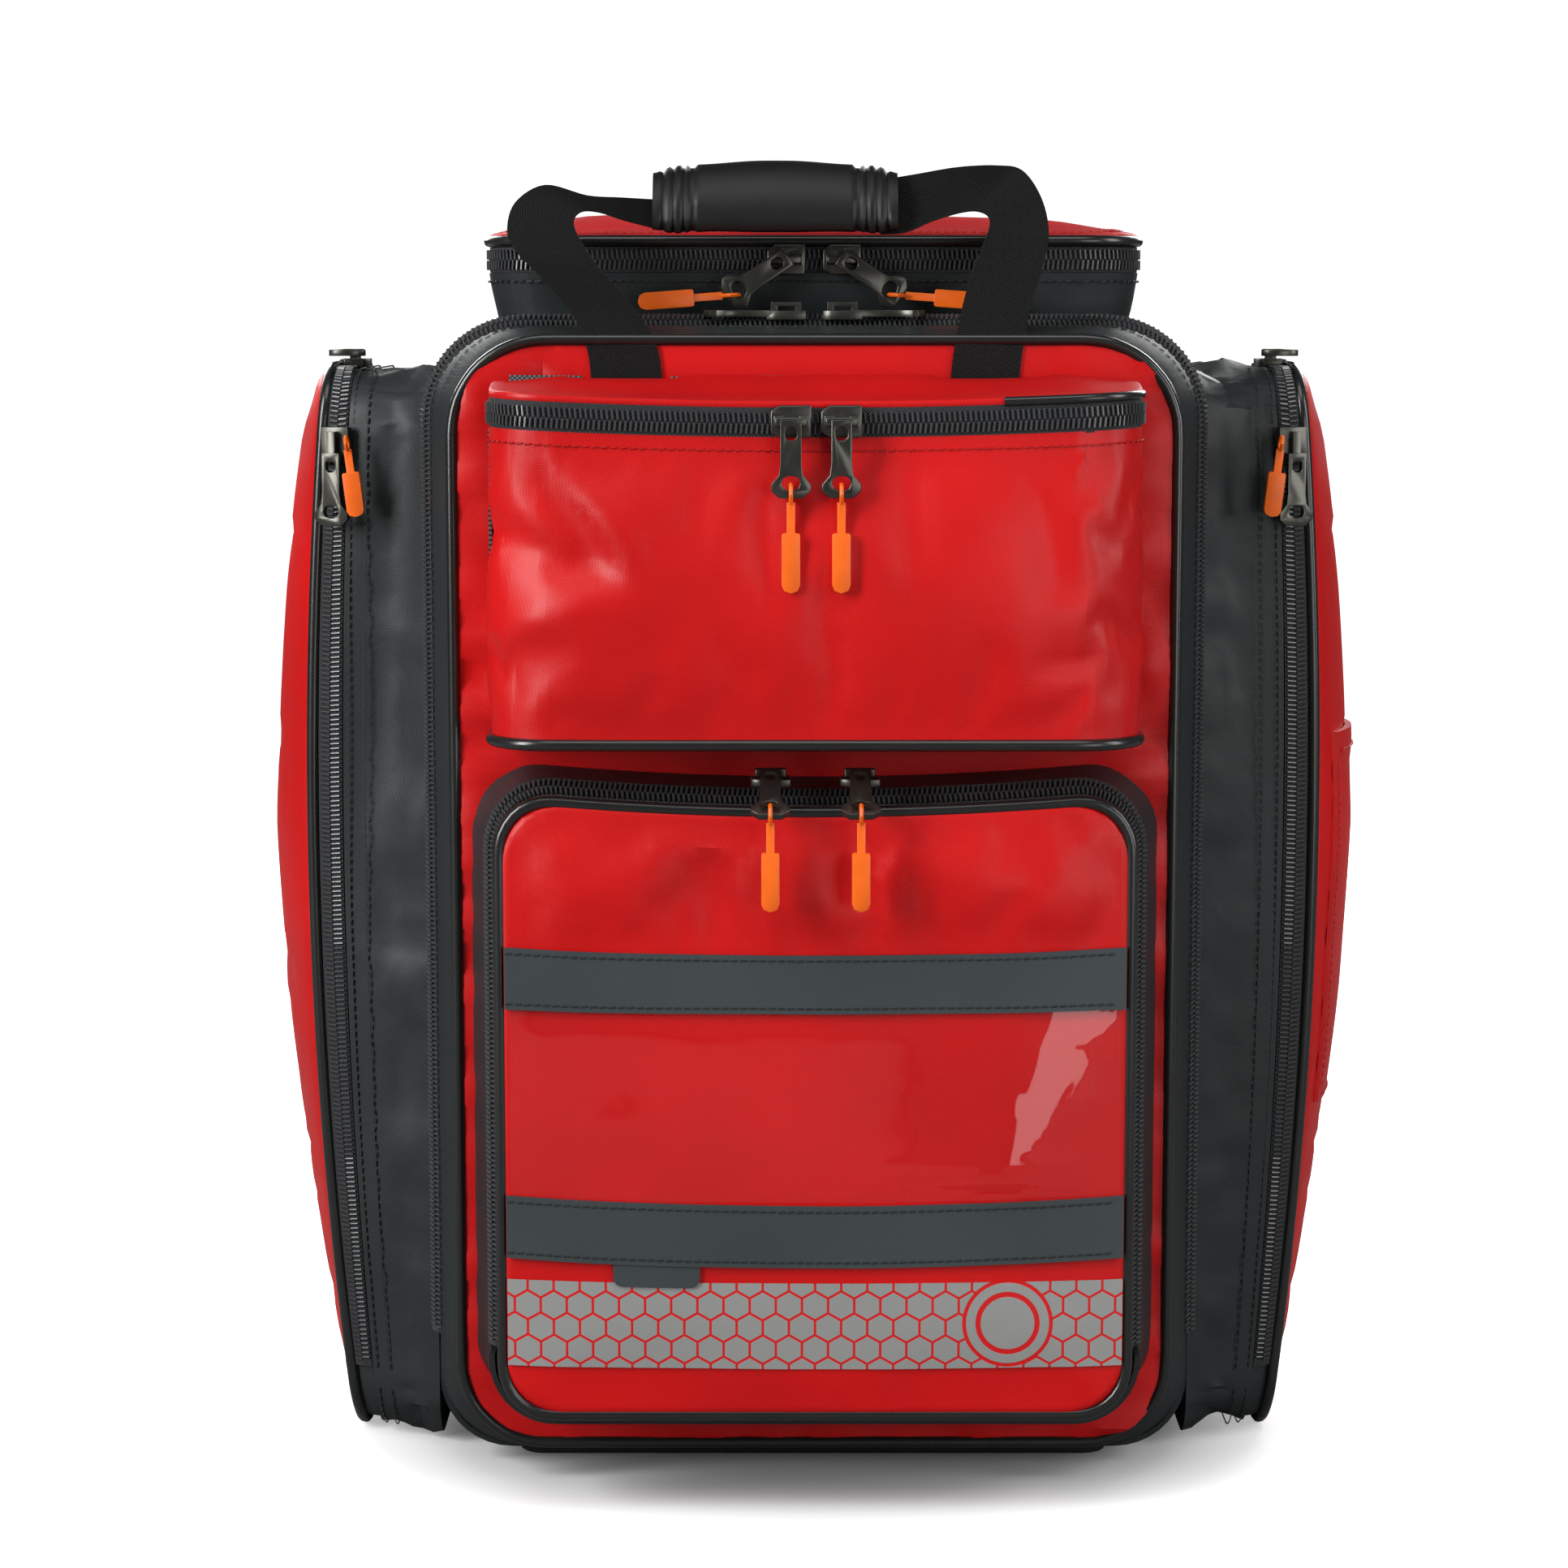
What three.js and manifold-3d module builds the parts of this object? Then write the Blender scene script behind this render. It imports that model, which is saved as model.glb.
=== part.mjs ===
// Trauma backpack: a zipped main compartment with a top pocket, two front pockets and two side pockets.
// Millimetres, +Z up. The front faces -Y. The origin is the middle of the base, on the ground.
// Each sewn panel, zip, slider, pull and strap is a solid of its own, GAP away from its neighbours.
import * as THREE from "three";
import { mergeVertices } from "three/addons/utils/BufferGeometryUtils.js";
import Module from "manifold-3d";

const wasm = await Module();
wasm.setup();

const GAP = 0.3;
const WALL = 4; // coated fabric with its foam lining
const ZIP_WIDTH = 12;
const ZIP_THICK = 3;
const PLY = 1.5; // one layer of coated fabric or film sewn on top of another

// Main compartment, from the front face backwards
const FRONT_Y = -70;
const ZIP_Y = -40; // front edge of the main zip
const BACK_Y = 118;
const panel = { halfWidth: 164.5, low: 20, high: 534, radiusLow: 38, radiusHigh: 42 };
const frame = { halfWidth: 178, low: 8, high: 541, radiusLow: 34, radiusHigh: 44 };
const HINGE_STRIP = 60; // height over the base where the main zip ends at each side

// Front pockets
const upper = { halfWidth: 145, low: 355, high: 497, frontY: -135, radius: 28 };
const lower = { halfWidth: 158, low: 40, high: 342, radiusLow: 32, radiusHigh: 34, taper: 0.94 };
const LOWER_ZIP_Y = -104;
const LOWER_COVER_Y = -128;
const LID = 5;

// Top pocket
const top = { halfWidth: 154, frontY: -12, radius: 30, low: 541 + GAP, high: 565 };

// Side pockets. Their outer edge is an arc in the front view.
const side = { innerX: 180.3, low: 3, high: 520, frontY: -22, radius: 26, slant: 24 };
const ARC_RADIUS = 2400;
const ARC_HEIGHT = 300; // height of the widest point
const EDGE_X = 243; // half width over the piping at that height
const COVER_CROWN = 23; // how far the cover stands out past its piping

// Carry handle
const WEBBING = 31;
const HANDLE_LEAN = 0.45; // millimetres back for each millimetre up

const red = new THREE.MeshStandardMaterial({ color: 0xc8101a, roughness: 0.42, metalness: 0 });
const grey = new THREE.MeshStandardMaterial({ color: 0x2b3031, roughness: 0.5, metalness: 0 });
const black = new THREE.MeshStandardMaterial({ color: 0x101010, roughness: 0.8, metalness: 0 });
const zipCoil = new THREE.MeshStandardMaterial({ color: 0x1c1d1e, roughness: 0.55, metalness: 0 });
const gunmetal = new THREE.MeshStandardMaterial({ color: 0x35352f, roughness: 0.35, metalness: 0.8 });
const orange = new THREE.MeshStandardMaterial({ color: 0xf97a14, roughness: 0.5, metalness: 0 });
const silver = new THREE.MeshStandardMaterial({ color: 0x9a9d9c, roughness: 0.4, metalness: 0.3 });
const clear = new THREE.MeshStandardMaterial({ color: 0xf2f2f2, roughness: 0.1, transparent: true, opacity: 0.3 });
const grip = new THREE.MeshStandardMaterial({ color: 0x161616, roughness: 0.6, metalness: 0 });

const bag = new THREE.Group();
bag.name = "trauma_backpack";

function add(name, geometry, material) {
  const mesh = new THREE.Mesh(geometry, material);
  mesh.name = name;
  bag.add(mesh);
  return mesh;
}

function solid(geometry) {
  const bare = geometry.clone();
  bare.deleteAttribute("normal");
  bare.deleteAttribute("uv");
  const merged = mergeVertices(bare, 1e-3);
  return new wasm.Manifold(
    new wasm.Mesh({
      numProp: 3,
      vertProperties: new Float32Array(merged.attributes.position.array),
      triVerts: new Uint32Array(merged.index.array),
    }),
  );
}

function geometryOf(made) {
  const mesh = made.getMesh();
  return new THREE.BufferGeometry()
    .setAttribute("position", new THREE.BufferAttribute(new Float32Array(mesh.vertProperties), 3))
    .setIndex(new THREE.BufferAttribute(new Uint32Array(mesh.triVerts), 1));
}

const cut = (a, ...others) => geometryOf(others.reduce((s, g) => s.subtract(solid(g)), solid(a)));
const join = (a, ...others) => geometryOf(others.reduce((s, g) => s.add(solid(g)), solid(a)));
const common = (a, b) => geometryOf(solid(a).intersect(solid(b)));

function box(x0, x1, y0, y1, z0, z1) {
  const middle = [(x0 + x1) / 2, (y0 + y1) / 2, (z0 + z1) / 2];
  return new THREE.BoxGeometry(x1 - x0, y1 - y0, z1 - z0).translate(...middle);
}

// Moves every vertex by a rule, such as a taper or a bulge.
function moved(geometry, rule) {
  const position = geometry.attributes.position;
  const p = new THREE.Vector3();
  for (let i = 0; i < position.count; i++) {
    rule(p.fromBufferAttribute(position, i));
    position.setXYZ(i, p.x, p.y, p.z);
  }
  return geometry;
}

// Outline of a rectangle with round corners, anticlockwise from its lower right corner
function roundOutline(left, right, low, high, radiusLow, radiusHigh, arcSteps = 5) {
  const points = [];
  const corner = (cx, cy, radius, start) => {
    const steps = radius > 0 ? arcSteps : 0;
    for (let i = 0; i <= steps; i++) {
      const a = start + (i / arcSteps) * (Math.PI / 2);
      points.push(new THREE.Vector2(cx + radius * Math.cos(a), cy + radius * Math.sin(a)));
    }
  };
  corner(right - radiusLow, low + radiusLow, radiusLow, -Math.PI / 2);
  corner(right - radiusHigh, high - radiusHigh, radiusHigh, 0);
  corner(left + radiusHigh, high - radiusHigh, radiusHigh, Math.PI / 2);
  corner(left + radiusLow, low + radiusLow, radiusLow, Math.PI);
  return points;
}

// Extrudes an outline drawn in X and Z along Y, from y0 to y1.
function alongY(points, y0, y1, hole = null, steps = 1) {
  const shape = new THREE.Shape(points);
  if (hole) shape.holes.push(new THREE.Path(hole));
  const depth = y1 - y0;
  return new THREE.ExtrudeGeometry(shape, { depth, steps, bevelEnabled: false })
    .rotateX(Math.PI / 2)
    .translate(0, y1, 0);
}

// Extrudes an outline drawn in X and Y upwards, from z0 to z1.
function alongZ(points, z0, z1, hole = null) {
  const shape = new THREE.Shape(points);
  if (hole) shape.holes.push(new THREE.Path(hole));
  return new THREE.ExtrudeGeometry(shape, { depth: z1 - z0, bevelEnabled: false }).translate(0, 0, z0);
}

// Extrudes an outline drawn in Y and Z along X, from x0 to x1.
const YZ_TO_WORLD = new THREE.Matrix4().makeBasis(
  new THREE.Vector3(0, 1, 0),
  new THREE.Vector3(0, 0, 1),
  new THREE.Vector3(1, 0, 0),
);
function alongX(points, x0, x1, hole = null) {
  const shape = new THREE.Shape(points);
  if (hole) shape.holes.push(new THREE.Path(hole));
  return new THREE.ExtrudeGeometry(shape, { depth: x1 - x0, bevelEnabled: false })
    .applyMatrix4(YZ_TO_WORLD)
    .translate(x0, 0, 0);
}

// Outline in the front view of the main compartment or of a pocket, drawn in by an inset.
function frontOutline(o, inset = 0) {
  const w = o.halfWidth - inset;
  return roundOutline(-w, w, o.low + inset, o.high - inset, o.radiusLow - inset, o.radiusHigh - inset);
}

// A flat ribbon or pad of constant thickness along a centre line in a plane.
function ribbon(centre, thickness) {
  const half = thickness / 2;
  const offset = (sign) =>
    centre.map((p, i) => {
      const before = centre[Math.max(i - 1, 0)];
      const after = centre[Math.min(i + 1, centre.length - 1)];
      const t = new THREE.Vector2().subVectors(after, before).normalize();
      return new THREE.Vector2(p.x - sign * half * t.y, p.y + sign * half * t.x);
    });
  return [...offset(-1), ...offset(1).reverse()];
}

const smooth = (points, count) =>
  new THREE.SplineCurve(points.map(([a, b]) => new THREE.Vector2(a, b))).getPoints(count);

// ---- main compartment ----
function mainCompartment() {
  add("back_panel", alongY(frontOutline(frame), BACK_Y + GAP, BACK_Y + 6), grey);
  const ring = alongY(frontOutline(frame), ZIP_Y + ZIP_WIDTH + GAP, BACK_Y, frontOutline(frame, WALL));
  add("main_gusset", ring, grey);
  const baseY0 = ZIP_Y + ZIP_WIDTH + GAP;
  const footprint = roundOutline(-frame.halfWidth + 36, frame.halfWidth - 36, baseY0, BACK_Y, 12, 12);
  add("base_panel", alongZ(footprint, 0, frame.low - GAP), black);
  const zipInside = frontOutline(frame, ZIP_THICK);
  const zipRing = alongY(frontOutline(frame), ZIP_Y + GAP, ZIP_Y + ZIP_WIDTH, zipInside);
  add("main_zip", cut(zipRing, box(-300, 300, -100, 0, -10, HINGE_STRIP)), zipCoil);
}

function frontPanel() {
  add("front_panel", alongY(frontOutline(panel), FRONT_Y, FRONT_Y + WALL), red);
  // The band behind the panel flares out to the main zip.
  // Its bottom end closes the compartment under the zip's ends.
  const band = alongY(frontOutline(panel), FRONT_Y + WALL + GAP, ZIP_Y, frontOutline(panel, WALL), 2);
  const depth = ZIP_Y - FRONT_Y - WALL;
  const middle = (panel.low + panel.high) / 2;
  const middleAtZip = (frame.low + frame.high) / 2;
  const stretch = (frame.high - frame.low) / (panel.high - panel.low);
  moved(band, (p) => {
    const t = (p.y - FRONT_Y - WALL) / depth;
    p.x *= 1 + t * (frame.halfWidth / panel.halfWidth - 1);
    p.z = middle + t * (middleAtZip - middle) + (p.z - middle) * (1 + t * (stretch - 1));
  });
  const strip = alongY(frontOutline(frame), ZIP_Y, ZIP_Y + ZIP_WIDTH, frontOutline(frame, WALL));
  const hingeStrip = common(strip, box(-300, 300, -100, 0, -10, HINGE_STRIP - GAP));
  add("front_gusset", join(band, hingeStrip.translate(0, -0.01, 0)), grey);
}

// ---- upper front pocket: an open-topped box with a zipped lid ----
function upperOutline(inset, backY) {
  const w = upper.halfWidth - inset;
  return roundOutline(-w, w, upper.frontY + inset, backY, upper.radius - inset, 0);
}

function upperPocket() {
  const backY = FRONT_Y - GAP;
  const outside = alongZ(upperOutline(0, backY), upper.low, upper.high);
  const inside = alongZ(upperOutline(WALL, backY + 5), upper.low + WALL, upper.high + 5);
  add("upper_pocket_walls", cut(outside, inside), red);
  const zipHigh = upper.high + ZIP_WIDTH;
  const zipOutside = alongZ(upperOutline(0, backY), upper.high + GAP, zipHigh);
  const zipInside = alongZ(upperOutline(ZIP_THICK, backY + 5), upper.high, zipHigh + 5);
  add("upper_zip", cut(zipOutside, zipInside), zipCoil);
  add("upper_lid", alongZ(upperOutline(0, backY - 4), zipHigh + GAP, zipHigh + LID), red);
}

// ---- lower front pocket: a tapering gusset with a zipped cover ----
function lowerTaper(geometry) {
  const middle = (lower.low + lower.high) / 2;
  return moved(geometry, (p) => {
    const t = Math.min(1, (FRONT_Y - p.y) / (FRONT_Y - LOWER_ZIP_Y));
    p.x *= 1 + t * (lower.taper - 1);
    p.z = middle + (p.z - middle) * (1 - 0.015 * t);
  });
}

function lowerPocket() {
  const whole = frontOutline(lower);
  const coverEnd = LOWER_ZIP_Y - ZIP_WIDTH;
  const gusset = alongY(whole, LOWER_ZIP_Y, FRONT_Y - GAP, frontOutline(lower, WALL));
  const strip = alongY(whole, coverEnd + GAP, LOWER_ZIP_Y + 0.01, frontOutline(lower, WALL));
  const ends = common(strip, box(-300, 300, -200, 0, 0, lower.low + 34));
  add("lower_pocket_walls", join(lowerTaper(gusset), lowerTaper(ends)), grey);
  const zipRing = alongY(whole, coverEnd + GAP, LOWER_ZIP_Y - GAP, frontOutline(lower, ZIP_THICK));
  add("lower_zip", lowerTaper(cut(zipRing, box(-300, 300, -200, 0, 0, lower.low + 34 + GAP))), zipCoil);
  const rim = alongY(whole, LOWER_COVER_Y, coverEnd);
  const hollow = alongY(frontOutline(lower, WALL), LOWER_COVER_Y + WALL, coverEnd + 5);
  add("lower_cover", lowerTaper(cut(rim, hollow)), red);
  coverTrim();
}

// Bands, window, reflective strip and label sewn to the lower cover's face
function coverTrim() {
  const faceY = LOWER_COVER_Y - GAP;
  const halfWidth = 142;
  const strip = (name, z0, z1, material, y1 = faceY, w = halfWidth) =>
    add(name, box(-w, w, y1 - PLY, y1, z0, z1), material);
  strip("trim_band_upper", 238, 266, grey);
  strip("trim_band_lower", 124.5, 153, grey);
  strip("document_window", 153 + GAP, 238 - GAP, clear, faceY, 138);
  strip("reflective_band", 74, 114, silver);
  add("label_tab", box(-90, -52, faceY - PLY, faceY, 115.5, 124), black);
}

// ---- top pocket ----
function topOutline(inset) {
  const w = top.halfWidth - inset;
  const r = top.radius - inset;
  return roundOutline(-w, w, top.frontY + inset, BACK_Y - inset, r, r);
}

function topPocket() {
  const outside = alongZ(topOutline(0), top.low, top.high);
  const inside = alongZ(topOutline(WALL), top.low + WALL, top.high + 5);
  const walls = cut(outside, inside);
  // The walls draw in towards the bottom.
  moved(walls, (p) => {
    p.x *= 1 - 0.03 * (1 - (p.z - top.low) / (top.high - top.low));
  });
  add("top_pocket_walls", walls, grey);
  const zipHigh = top.high + ZIP_WIDTH;
  add("top_zip", alongZ(topOutline(0), top.high + GAP, zipHigh, topOutline(ZIP_THICK)), zipCoil);
  const lid = alongZ(topOutline(0), zipHigh + GAP, zipHigh + 8);
  // The lid is thicker towards the back.
  moved(lid, (p) => {
    if (p.z > zipHigh + 1) p.z += (8 * (p.y - top.frontY)) / (BACK_Y - top.frontY);
  });
  add("top_lid", lid, red);
}

// ---- side pockets ----
// Heights at which the curved parts change direction, shared so that neighbouring curves keep their gap
const HEIGHTS = [3, 12, 30, 60, 104, 164, 230, 300, 346, 400, 450, 484, 505, 515, 520];
const PATCH = HEIGHTS.filter((z) => z >= 164 && z <= 346);

// How far the outer edge draws in at a height, and how much of the full crown the cover has there
const bow = (z) => Math.sqrt(ARC_RADIUS ** 2 - (z - ARC_HEIGHT) ** 2) - ARC_RADIUS;
function fullness(z) {
  const below = (z - side.low) / (ARC_HEIGHT - side.low);
  const above = (side.high - z) / (side.high - ARC_HEIGHT);
  return z < ARC_HEIGHT ? below ** 0.55 : above ** 0.3;
}

// The part of the front view between two arcs, extruded through the whole depth
function arcSlab(x0, x1) {
  const edge = (x, curved) => HEIGHTS.map((z) => new THREE.Vector2(x + (curved ? bow(z) : 0), z));
  const outer = edge(x1, true);
  const inner = edge(x0, x0 > side.innerX).reverse();
  return alongY([...outer, ...inner], -60, 160);
}

const sideOutline = (frontY, inset) =>
  roundOutline(
    frontY + inset,
    BACK_Y - inset,
    side.low + inset,
    side.high - inset,
    side.radius - inset,
    side.radius - inset,
  );

// The band round a side pocket. Its front slants backwards towards the outside.
function sideBand(x0, x1, wall) {
  const far = EDGE_X + 10;
  const band = alongX(sideOutline(side.frontY, 0), side.innerX, far, sideOutline(side.frontY, wall));
  moved(band, (p) => {
    const t = (p.x - side.innerX) / (EDGE_X - side.innerX);
    p.y += side.slant * t * (1 - (p.y - side.frontY) / (BACK_Y - side.frontY));
  });
  return common(band, arcSlab(x0, x1));
}

// A sheet that follows the crown of the cover, from one offset to another over the piping line.
// It spans the given heights, and the eighths of the depth between first and last.
function crownSheet(heights, first, last, near, far) {
  const frontY = side.frontY + side.slant;
  const eighths = [];
  for (let i = first; i <= last; i++) eighths.push(i);
  const depth = BACK_Y - frontY;
  const at = (offset) => eighths.map((i) => new THREE.Vector2(offset, frontY + (depth * i) / 8));
  const shape = new THREE.Shape([...at(far), ...at(near).reverse()]);
  const steps = heights.length - 1;
  const sheet = new THREE.ExtrudeGeometry(shape, { depth: steps, steps, bevelEnabled: false });
  return moved(sheet, (p) => {
    const z = heights[Math.round(p.z)];
    const crown = COVER_CROWN * Math.sin((Math.PI * (p.y - frontY)) / depth) ** 0.8 * fullness(z);
    p.x += COVER_X + bow(z) + (crown || 0);
    p.z = z;
  });
}

const COVER_X = EDGE_X - 6 + GAP;
const SIDE_ZIP_X = EDGE_X - 6 - ZIP_WIDTH;

function sidePockets() {
  for (const [hand, sign] of [["left", -1], ["right", 1]]) {
    const walls = sideBand(side.innerX, SIDE_ZIP_X - GAP, WALL);
    add(`side_pocket_walls_${hand}`, walls, grey).scale.x = sign;
    add(`side_zip_${hand}`, sideBand(SIDE_ZIP_X, EDGE_X - 6, ZIP_THICK), zipCoil).scale.x = sign;
    const sheet = crownSheet(HEIGHTS, 0, 8, 0, 5);
    const corners = alongX(sideOutline(side.frontY + side.slant, 0), 200, 300);
    add(`side_cover_${hand}`, common(sheet, corners), red).scale.x = sign;
  }
  add("patch_pocket", common(crownSheet(PATCH, 1, 7, 6, 8), box(200, 300, 0, 120, 164, 346)), red);
}

// ---- carry handle: a loop of webbing with folded corners, and a moulded grip round its middle ----
function handle() {
  const outline = [
    ...smooth([[-100, 515], [-103, 538], [-126, 560], [-141, 580], [-138, 596], [-122, 607]], 10),
    ...smooth([[92, 613], [104, 603], [108, 585], [101, 562], [94, 540], [92, 515]], 10),
    ...smooth([[61, 515], [63, 540], [70, 560], [73, 574], [66, 582]], 8),
    ...smooth([[-98, 576], [-107, 569], [-90, 554], [-73, 538], [-69, 515]], 8),
  ];
  const back = FRONT_Y - GAP;
  const loop = alongY(outline, back - 2, back);
  const bend = panel.high + 2;
  const lean = (geometry) => moved(geometry, (p) => (p.y += HANDLE_LEAN * (p.z - bend)));
  const below = cut(loop, box(-200, 200, -100, 0, bend, 700));
  const above = lean(cut(loop, box(-200, 200, -100, 0, 0, bend)));
  add("handle_webbing", join(below, above), black);
  const section = roundOutline(back - 11, back + 9, 580, 614, 9, 9);
  const bore = box(-100, 100, back - 2 - GAP, back + GAP, 577, 613.3);
  const middle = common(alongX(section, -76, 40), box(-100, 100, -200, 200, 500, 700));
  add("handle_grip", lean(cut(middle, bore)), grip);
}

// ---- back: pad, shoulder straps, webbing and ladder locks ----
function harness() {
  const padY = BACK_Y + 6 + GAP;
  add("back_pad", alongY(roundOutline(-140, 140, 130, 470, 30, 30), padY, padY + 13), black);
  const strapLine = [[131.5, 508], [139, 494], [156, 465], [165, 420], [168, 350], [163, 275], [150, 205]];
  const line = smooth(strapLine, 14);
  const web = smooth([[147, 184], [146.5, 160], [143, 128], [134, 90], [126.2, 62]], 8);
  for (const [hand, sign] of [["left", -1], ["right", 1]]) {
    const x = sign * 82;
    add(`shoulder_strap_${hand}`, alongX(ribbon(line, 13), x - 32, x + 32), black);
    add(`ladder_lock_${hand}`, alongX(roundOutline(141, 153, 186, 198, 2, 2, 2), x - 19, x + 19), grip);
    add(`strap_webbing_${hand}`, alongX(ribbon(web, 2.4), x - 12.5, x + 12.5), black);
  }
}

// ---- zip sliders, pull tabs and cord pulls ----
// A slider lies on its zip with its bridge outwards: local X along the zip, local Z outwards, its sole at z = 0.
function sliderGeometry() {
  const body = alongZ(
    [[-9, -4.5], [-5, -7], [9, -7], [9, 7], [-5, 7], [-9, 4.5]].map(([x, y]) => new THREE.Vector2(x, y)),
    0,
    4,
  );
  const bridge = join(box(-7, -4, -2, 2, 3, 8), box(4, 7, -2, 2, 3, 8), box(-7, 7, -2, 2, 6.2, 8));
  return join(body, bridge);
}

// A tab hangs along local -Z from its bail at the origin, and lies in the local XZ plane, 3 thick.
const TAB_LENGTH = 33;
function tabGeometry() {
  const half = [[4.6, 1], [4.6, -18], [5.2, -23], [8.6, -27], [8.6, -30], [5, -TAB_LENGTH]];
  const points = [...half.map(([x, z]) => [-x, z]), ...half.reverse()].map(([x, z]) => new THREE.Vector2(x, z));
  const eye = roundOutline(-4, 4, -29.6, -23.4, 2.8, 2.8, 2);
  const bail = roundOutline(-2.6, 2.6, -8, -2, 1.5, 1.5, 1);
  return cut(alongY(points, -1.5, 1.5), alongY(eye, -3, 3), alongY(bail, -3, 3));
}

// A cord loop round the tab's lower bar, ending in a moulded finger grip. Its origin is the middle of the bar.
function pullGeometry() {
  const loop = new THREE.TorusGeometry(4.2, 1, 5, 8).rotateY(Math.PI / 2);
  const cords = box(-1.8, 1.8, -1, 1, -18, -3.6);
  const body = alongY(roundOutline(-4, 4, -43, -17, 3.5, 1, 2), -2.3, 2.3);
  return join(loop, cords, body);
}

const SLIDER = sliderGeometry();
const TAB = tabGeometry();
const PULL = pullGeometry();
const BAR = 31.2; // from the bail to the middle of the tab's lower bar

const axes = (x, y, z) => new THREE.Matrix4().makeBasis(x, y, z);
const X = new THREE.Vector3(1, 0, 0);
const Y = new THREE.Vector3(0, 1, 0);
const Z = new THREE.Vector3(0, 0, 1);
const minus = (v) => v.clone().negate();
const FACING_FRONT = axes(X, Z, minus(Y));
const FACING_UP = new THREE.Matrix4();
const BACKWARDS_UP = axes(Y, minus(X), Z);
const HANGING = new THREE.Matrix4();

const placed = (geometry, turn, x, y, z) => geometry.clone().applyMatrix4(turn).translate(x, y, z);

// A tab hung from (x, y, z) with a cord pull through its eye. spread turns the tab sideways, tilt lifts it forwards.
function tabAndPull(name, x, y, z, spread, tilt, pullTurn) {
  const turn = new THREE.Matrix4().makeRotationFromEuler(new THREE.Euler(tilt, spread, 0, "YXZ"));
  add(`${name}_tab`, placed(TAB, turn, x, y, z), gunmetal);
  const bar = new THREE.Vector3(0, 0, -BAR).applyMatrix4(turn).add(new THREE.Vector3(x, y, z));
  add(`${name}_pull`, placed(PULL, pullTurn, bar.x, bar.y, bar.z), orange);
}

const MAIN_SLIDER_Y = ZIP_Y + ZIP_WIDTH / 2;
const LOWER_SLIDER_Y = LOWER_ZIP_Y - ZIP_WIDTH / 2;

function zipHardware() {
  for (const [hand, sign] of [["left", -1], ["right", 1]]) {
    add(`upper_slider_${hand}`, placed(SLIDER, FACING_FRONT, sign * 11, upper.frontY - 0.9, 503), gunmetal);
    tabAndPull(`upper_${hand}`, sign * 11, upper.frontY - 10.6, 503, 0, 0, HANGING);

    const lowerZ = lower.high - 1.7;
    add(`lower_slider_${hand}`, placed(SLIDER, FACING_UP, sign * 20, LOWER_SLIDER_Y, lowerZ), gunmetal);
    tabAndPull(`lower_${hand}`, sign * 20, LOWER_SLIDER_Y - 9, lowerZ + 7.4, 0, -1.05, HANGING);

    add(`top_slider_${hand}`, placed(SLIDER, FACING_FRONT, sign * 13, top.frontY - 0.9, 571), gunmetal);
    const pullTurn = new THREE.Matrix4().makeRotationY(sign * -1.5);
    tabAndPull(`top_${hand}`, sign * 13, top.frontY - 10.6, 572, sign * -0.98, 0, pullTurn);

    // The main zip's tabs lie flat, pointing away from the middle.
    const laid = axes(new THREE.Vector3(0, sign, 0), minus(Z), new THREE.Vector3(-sign, 0, 0));
    const slider = placed(SLIDER, FACING_UP, sign * 13, MAIN_SLIDER_Y, frame.high + GAP);
    const tab = placed(TAB, laid, sign * 18, MAIN_SLIDER_Y, frame.high + 3);
    add(`main_slider_${hand}`, join(slider, tab), gunmetal);
  }
}

// Sliders parked at the top front corner of each side pocket, one for the front run and one for the top run
function sideSliders() {
  const slope = Math.atan2(side.slant, EDGE_X - side.innerX);
  const outwards = new THREE.Vector3(Math.sin(slope), -Math.cos(slope), 0);
  const across = new THREE.Vector3().crossVectors(outwards, Z);
  const height = 484;
  const middle = SIDE_ZIP_X + ZIP_WIDTH / 2;
  const frontX = middle + bow(height);
  const frontY = side.frontY + (frontX - side.innerX) * Math.tan(slope);
  const laid = axes(Z, across, outwards);
  const topX = middle + bow(side.high);
  for (const [hand, sign] of [["left", -1], ["right", 1]]) {
    const front = placed(SLIDER, laid, 0, 0, 0).translate(outwards.x * 0.5, outwards.y * 0.5, 0);
    const frontTab = placed(TAB, axes(across, outwards, Z), outwards.x * 7.6, outwards.y * 7.6, -4);
    add(`side_front_slider_${hand}`, join(front, frontTab).translate(frontX, frontY, height), gunmetal).scale.x = sign;
    const rear = placed(SLIDER, BACKWARDS_UP, topX, 42, side.high + GAP);
    const rearTab = placed(TAB, axes(X, minus(Z), Y), topX, 37, side.high + 7.6);
    add(`side_top_slider_${hand}`, join(rear, rearTab), gunmetal).scale.x = sign;
  }
}

mainCompartment();
frontPanel();
upperPocket();
lowerPocket();
topPocket();
sidePockets();
handle();
harness();
zipHardware();
sideSliders();

export default bag;
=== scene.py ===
"""Looks of the trauma backpack: its soft pockets, piping, zips, webbing and hardware."""

import math

import bmesh
import bpy
from bpy.props import FloatProperty, FloatVectorProperty, PointerProperty
from mathutils import Matrix, Vector, noise


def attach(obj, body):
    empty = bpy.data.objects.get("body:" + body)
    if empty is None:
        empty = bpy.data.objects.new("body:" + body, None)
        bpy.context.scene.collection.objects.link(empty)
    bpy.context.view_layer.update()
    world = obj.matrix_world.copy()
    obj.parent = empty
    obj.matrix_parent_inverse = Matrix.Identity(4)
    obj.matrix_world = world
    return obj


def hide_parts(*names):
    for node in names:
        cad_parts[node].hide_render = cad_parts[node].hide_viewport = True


bl_info = {
    "name": "Trauma backpack",
    "version": (1, 0, 0),
    "blender": (4, 5, 0),
    "location": "3D View > Sidebar > Backpack",
    "description": "Builds the soft pockets, zips, piping, straps and hardware of a trauma backpack",
    "category": "Object",
}

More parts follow.
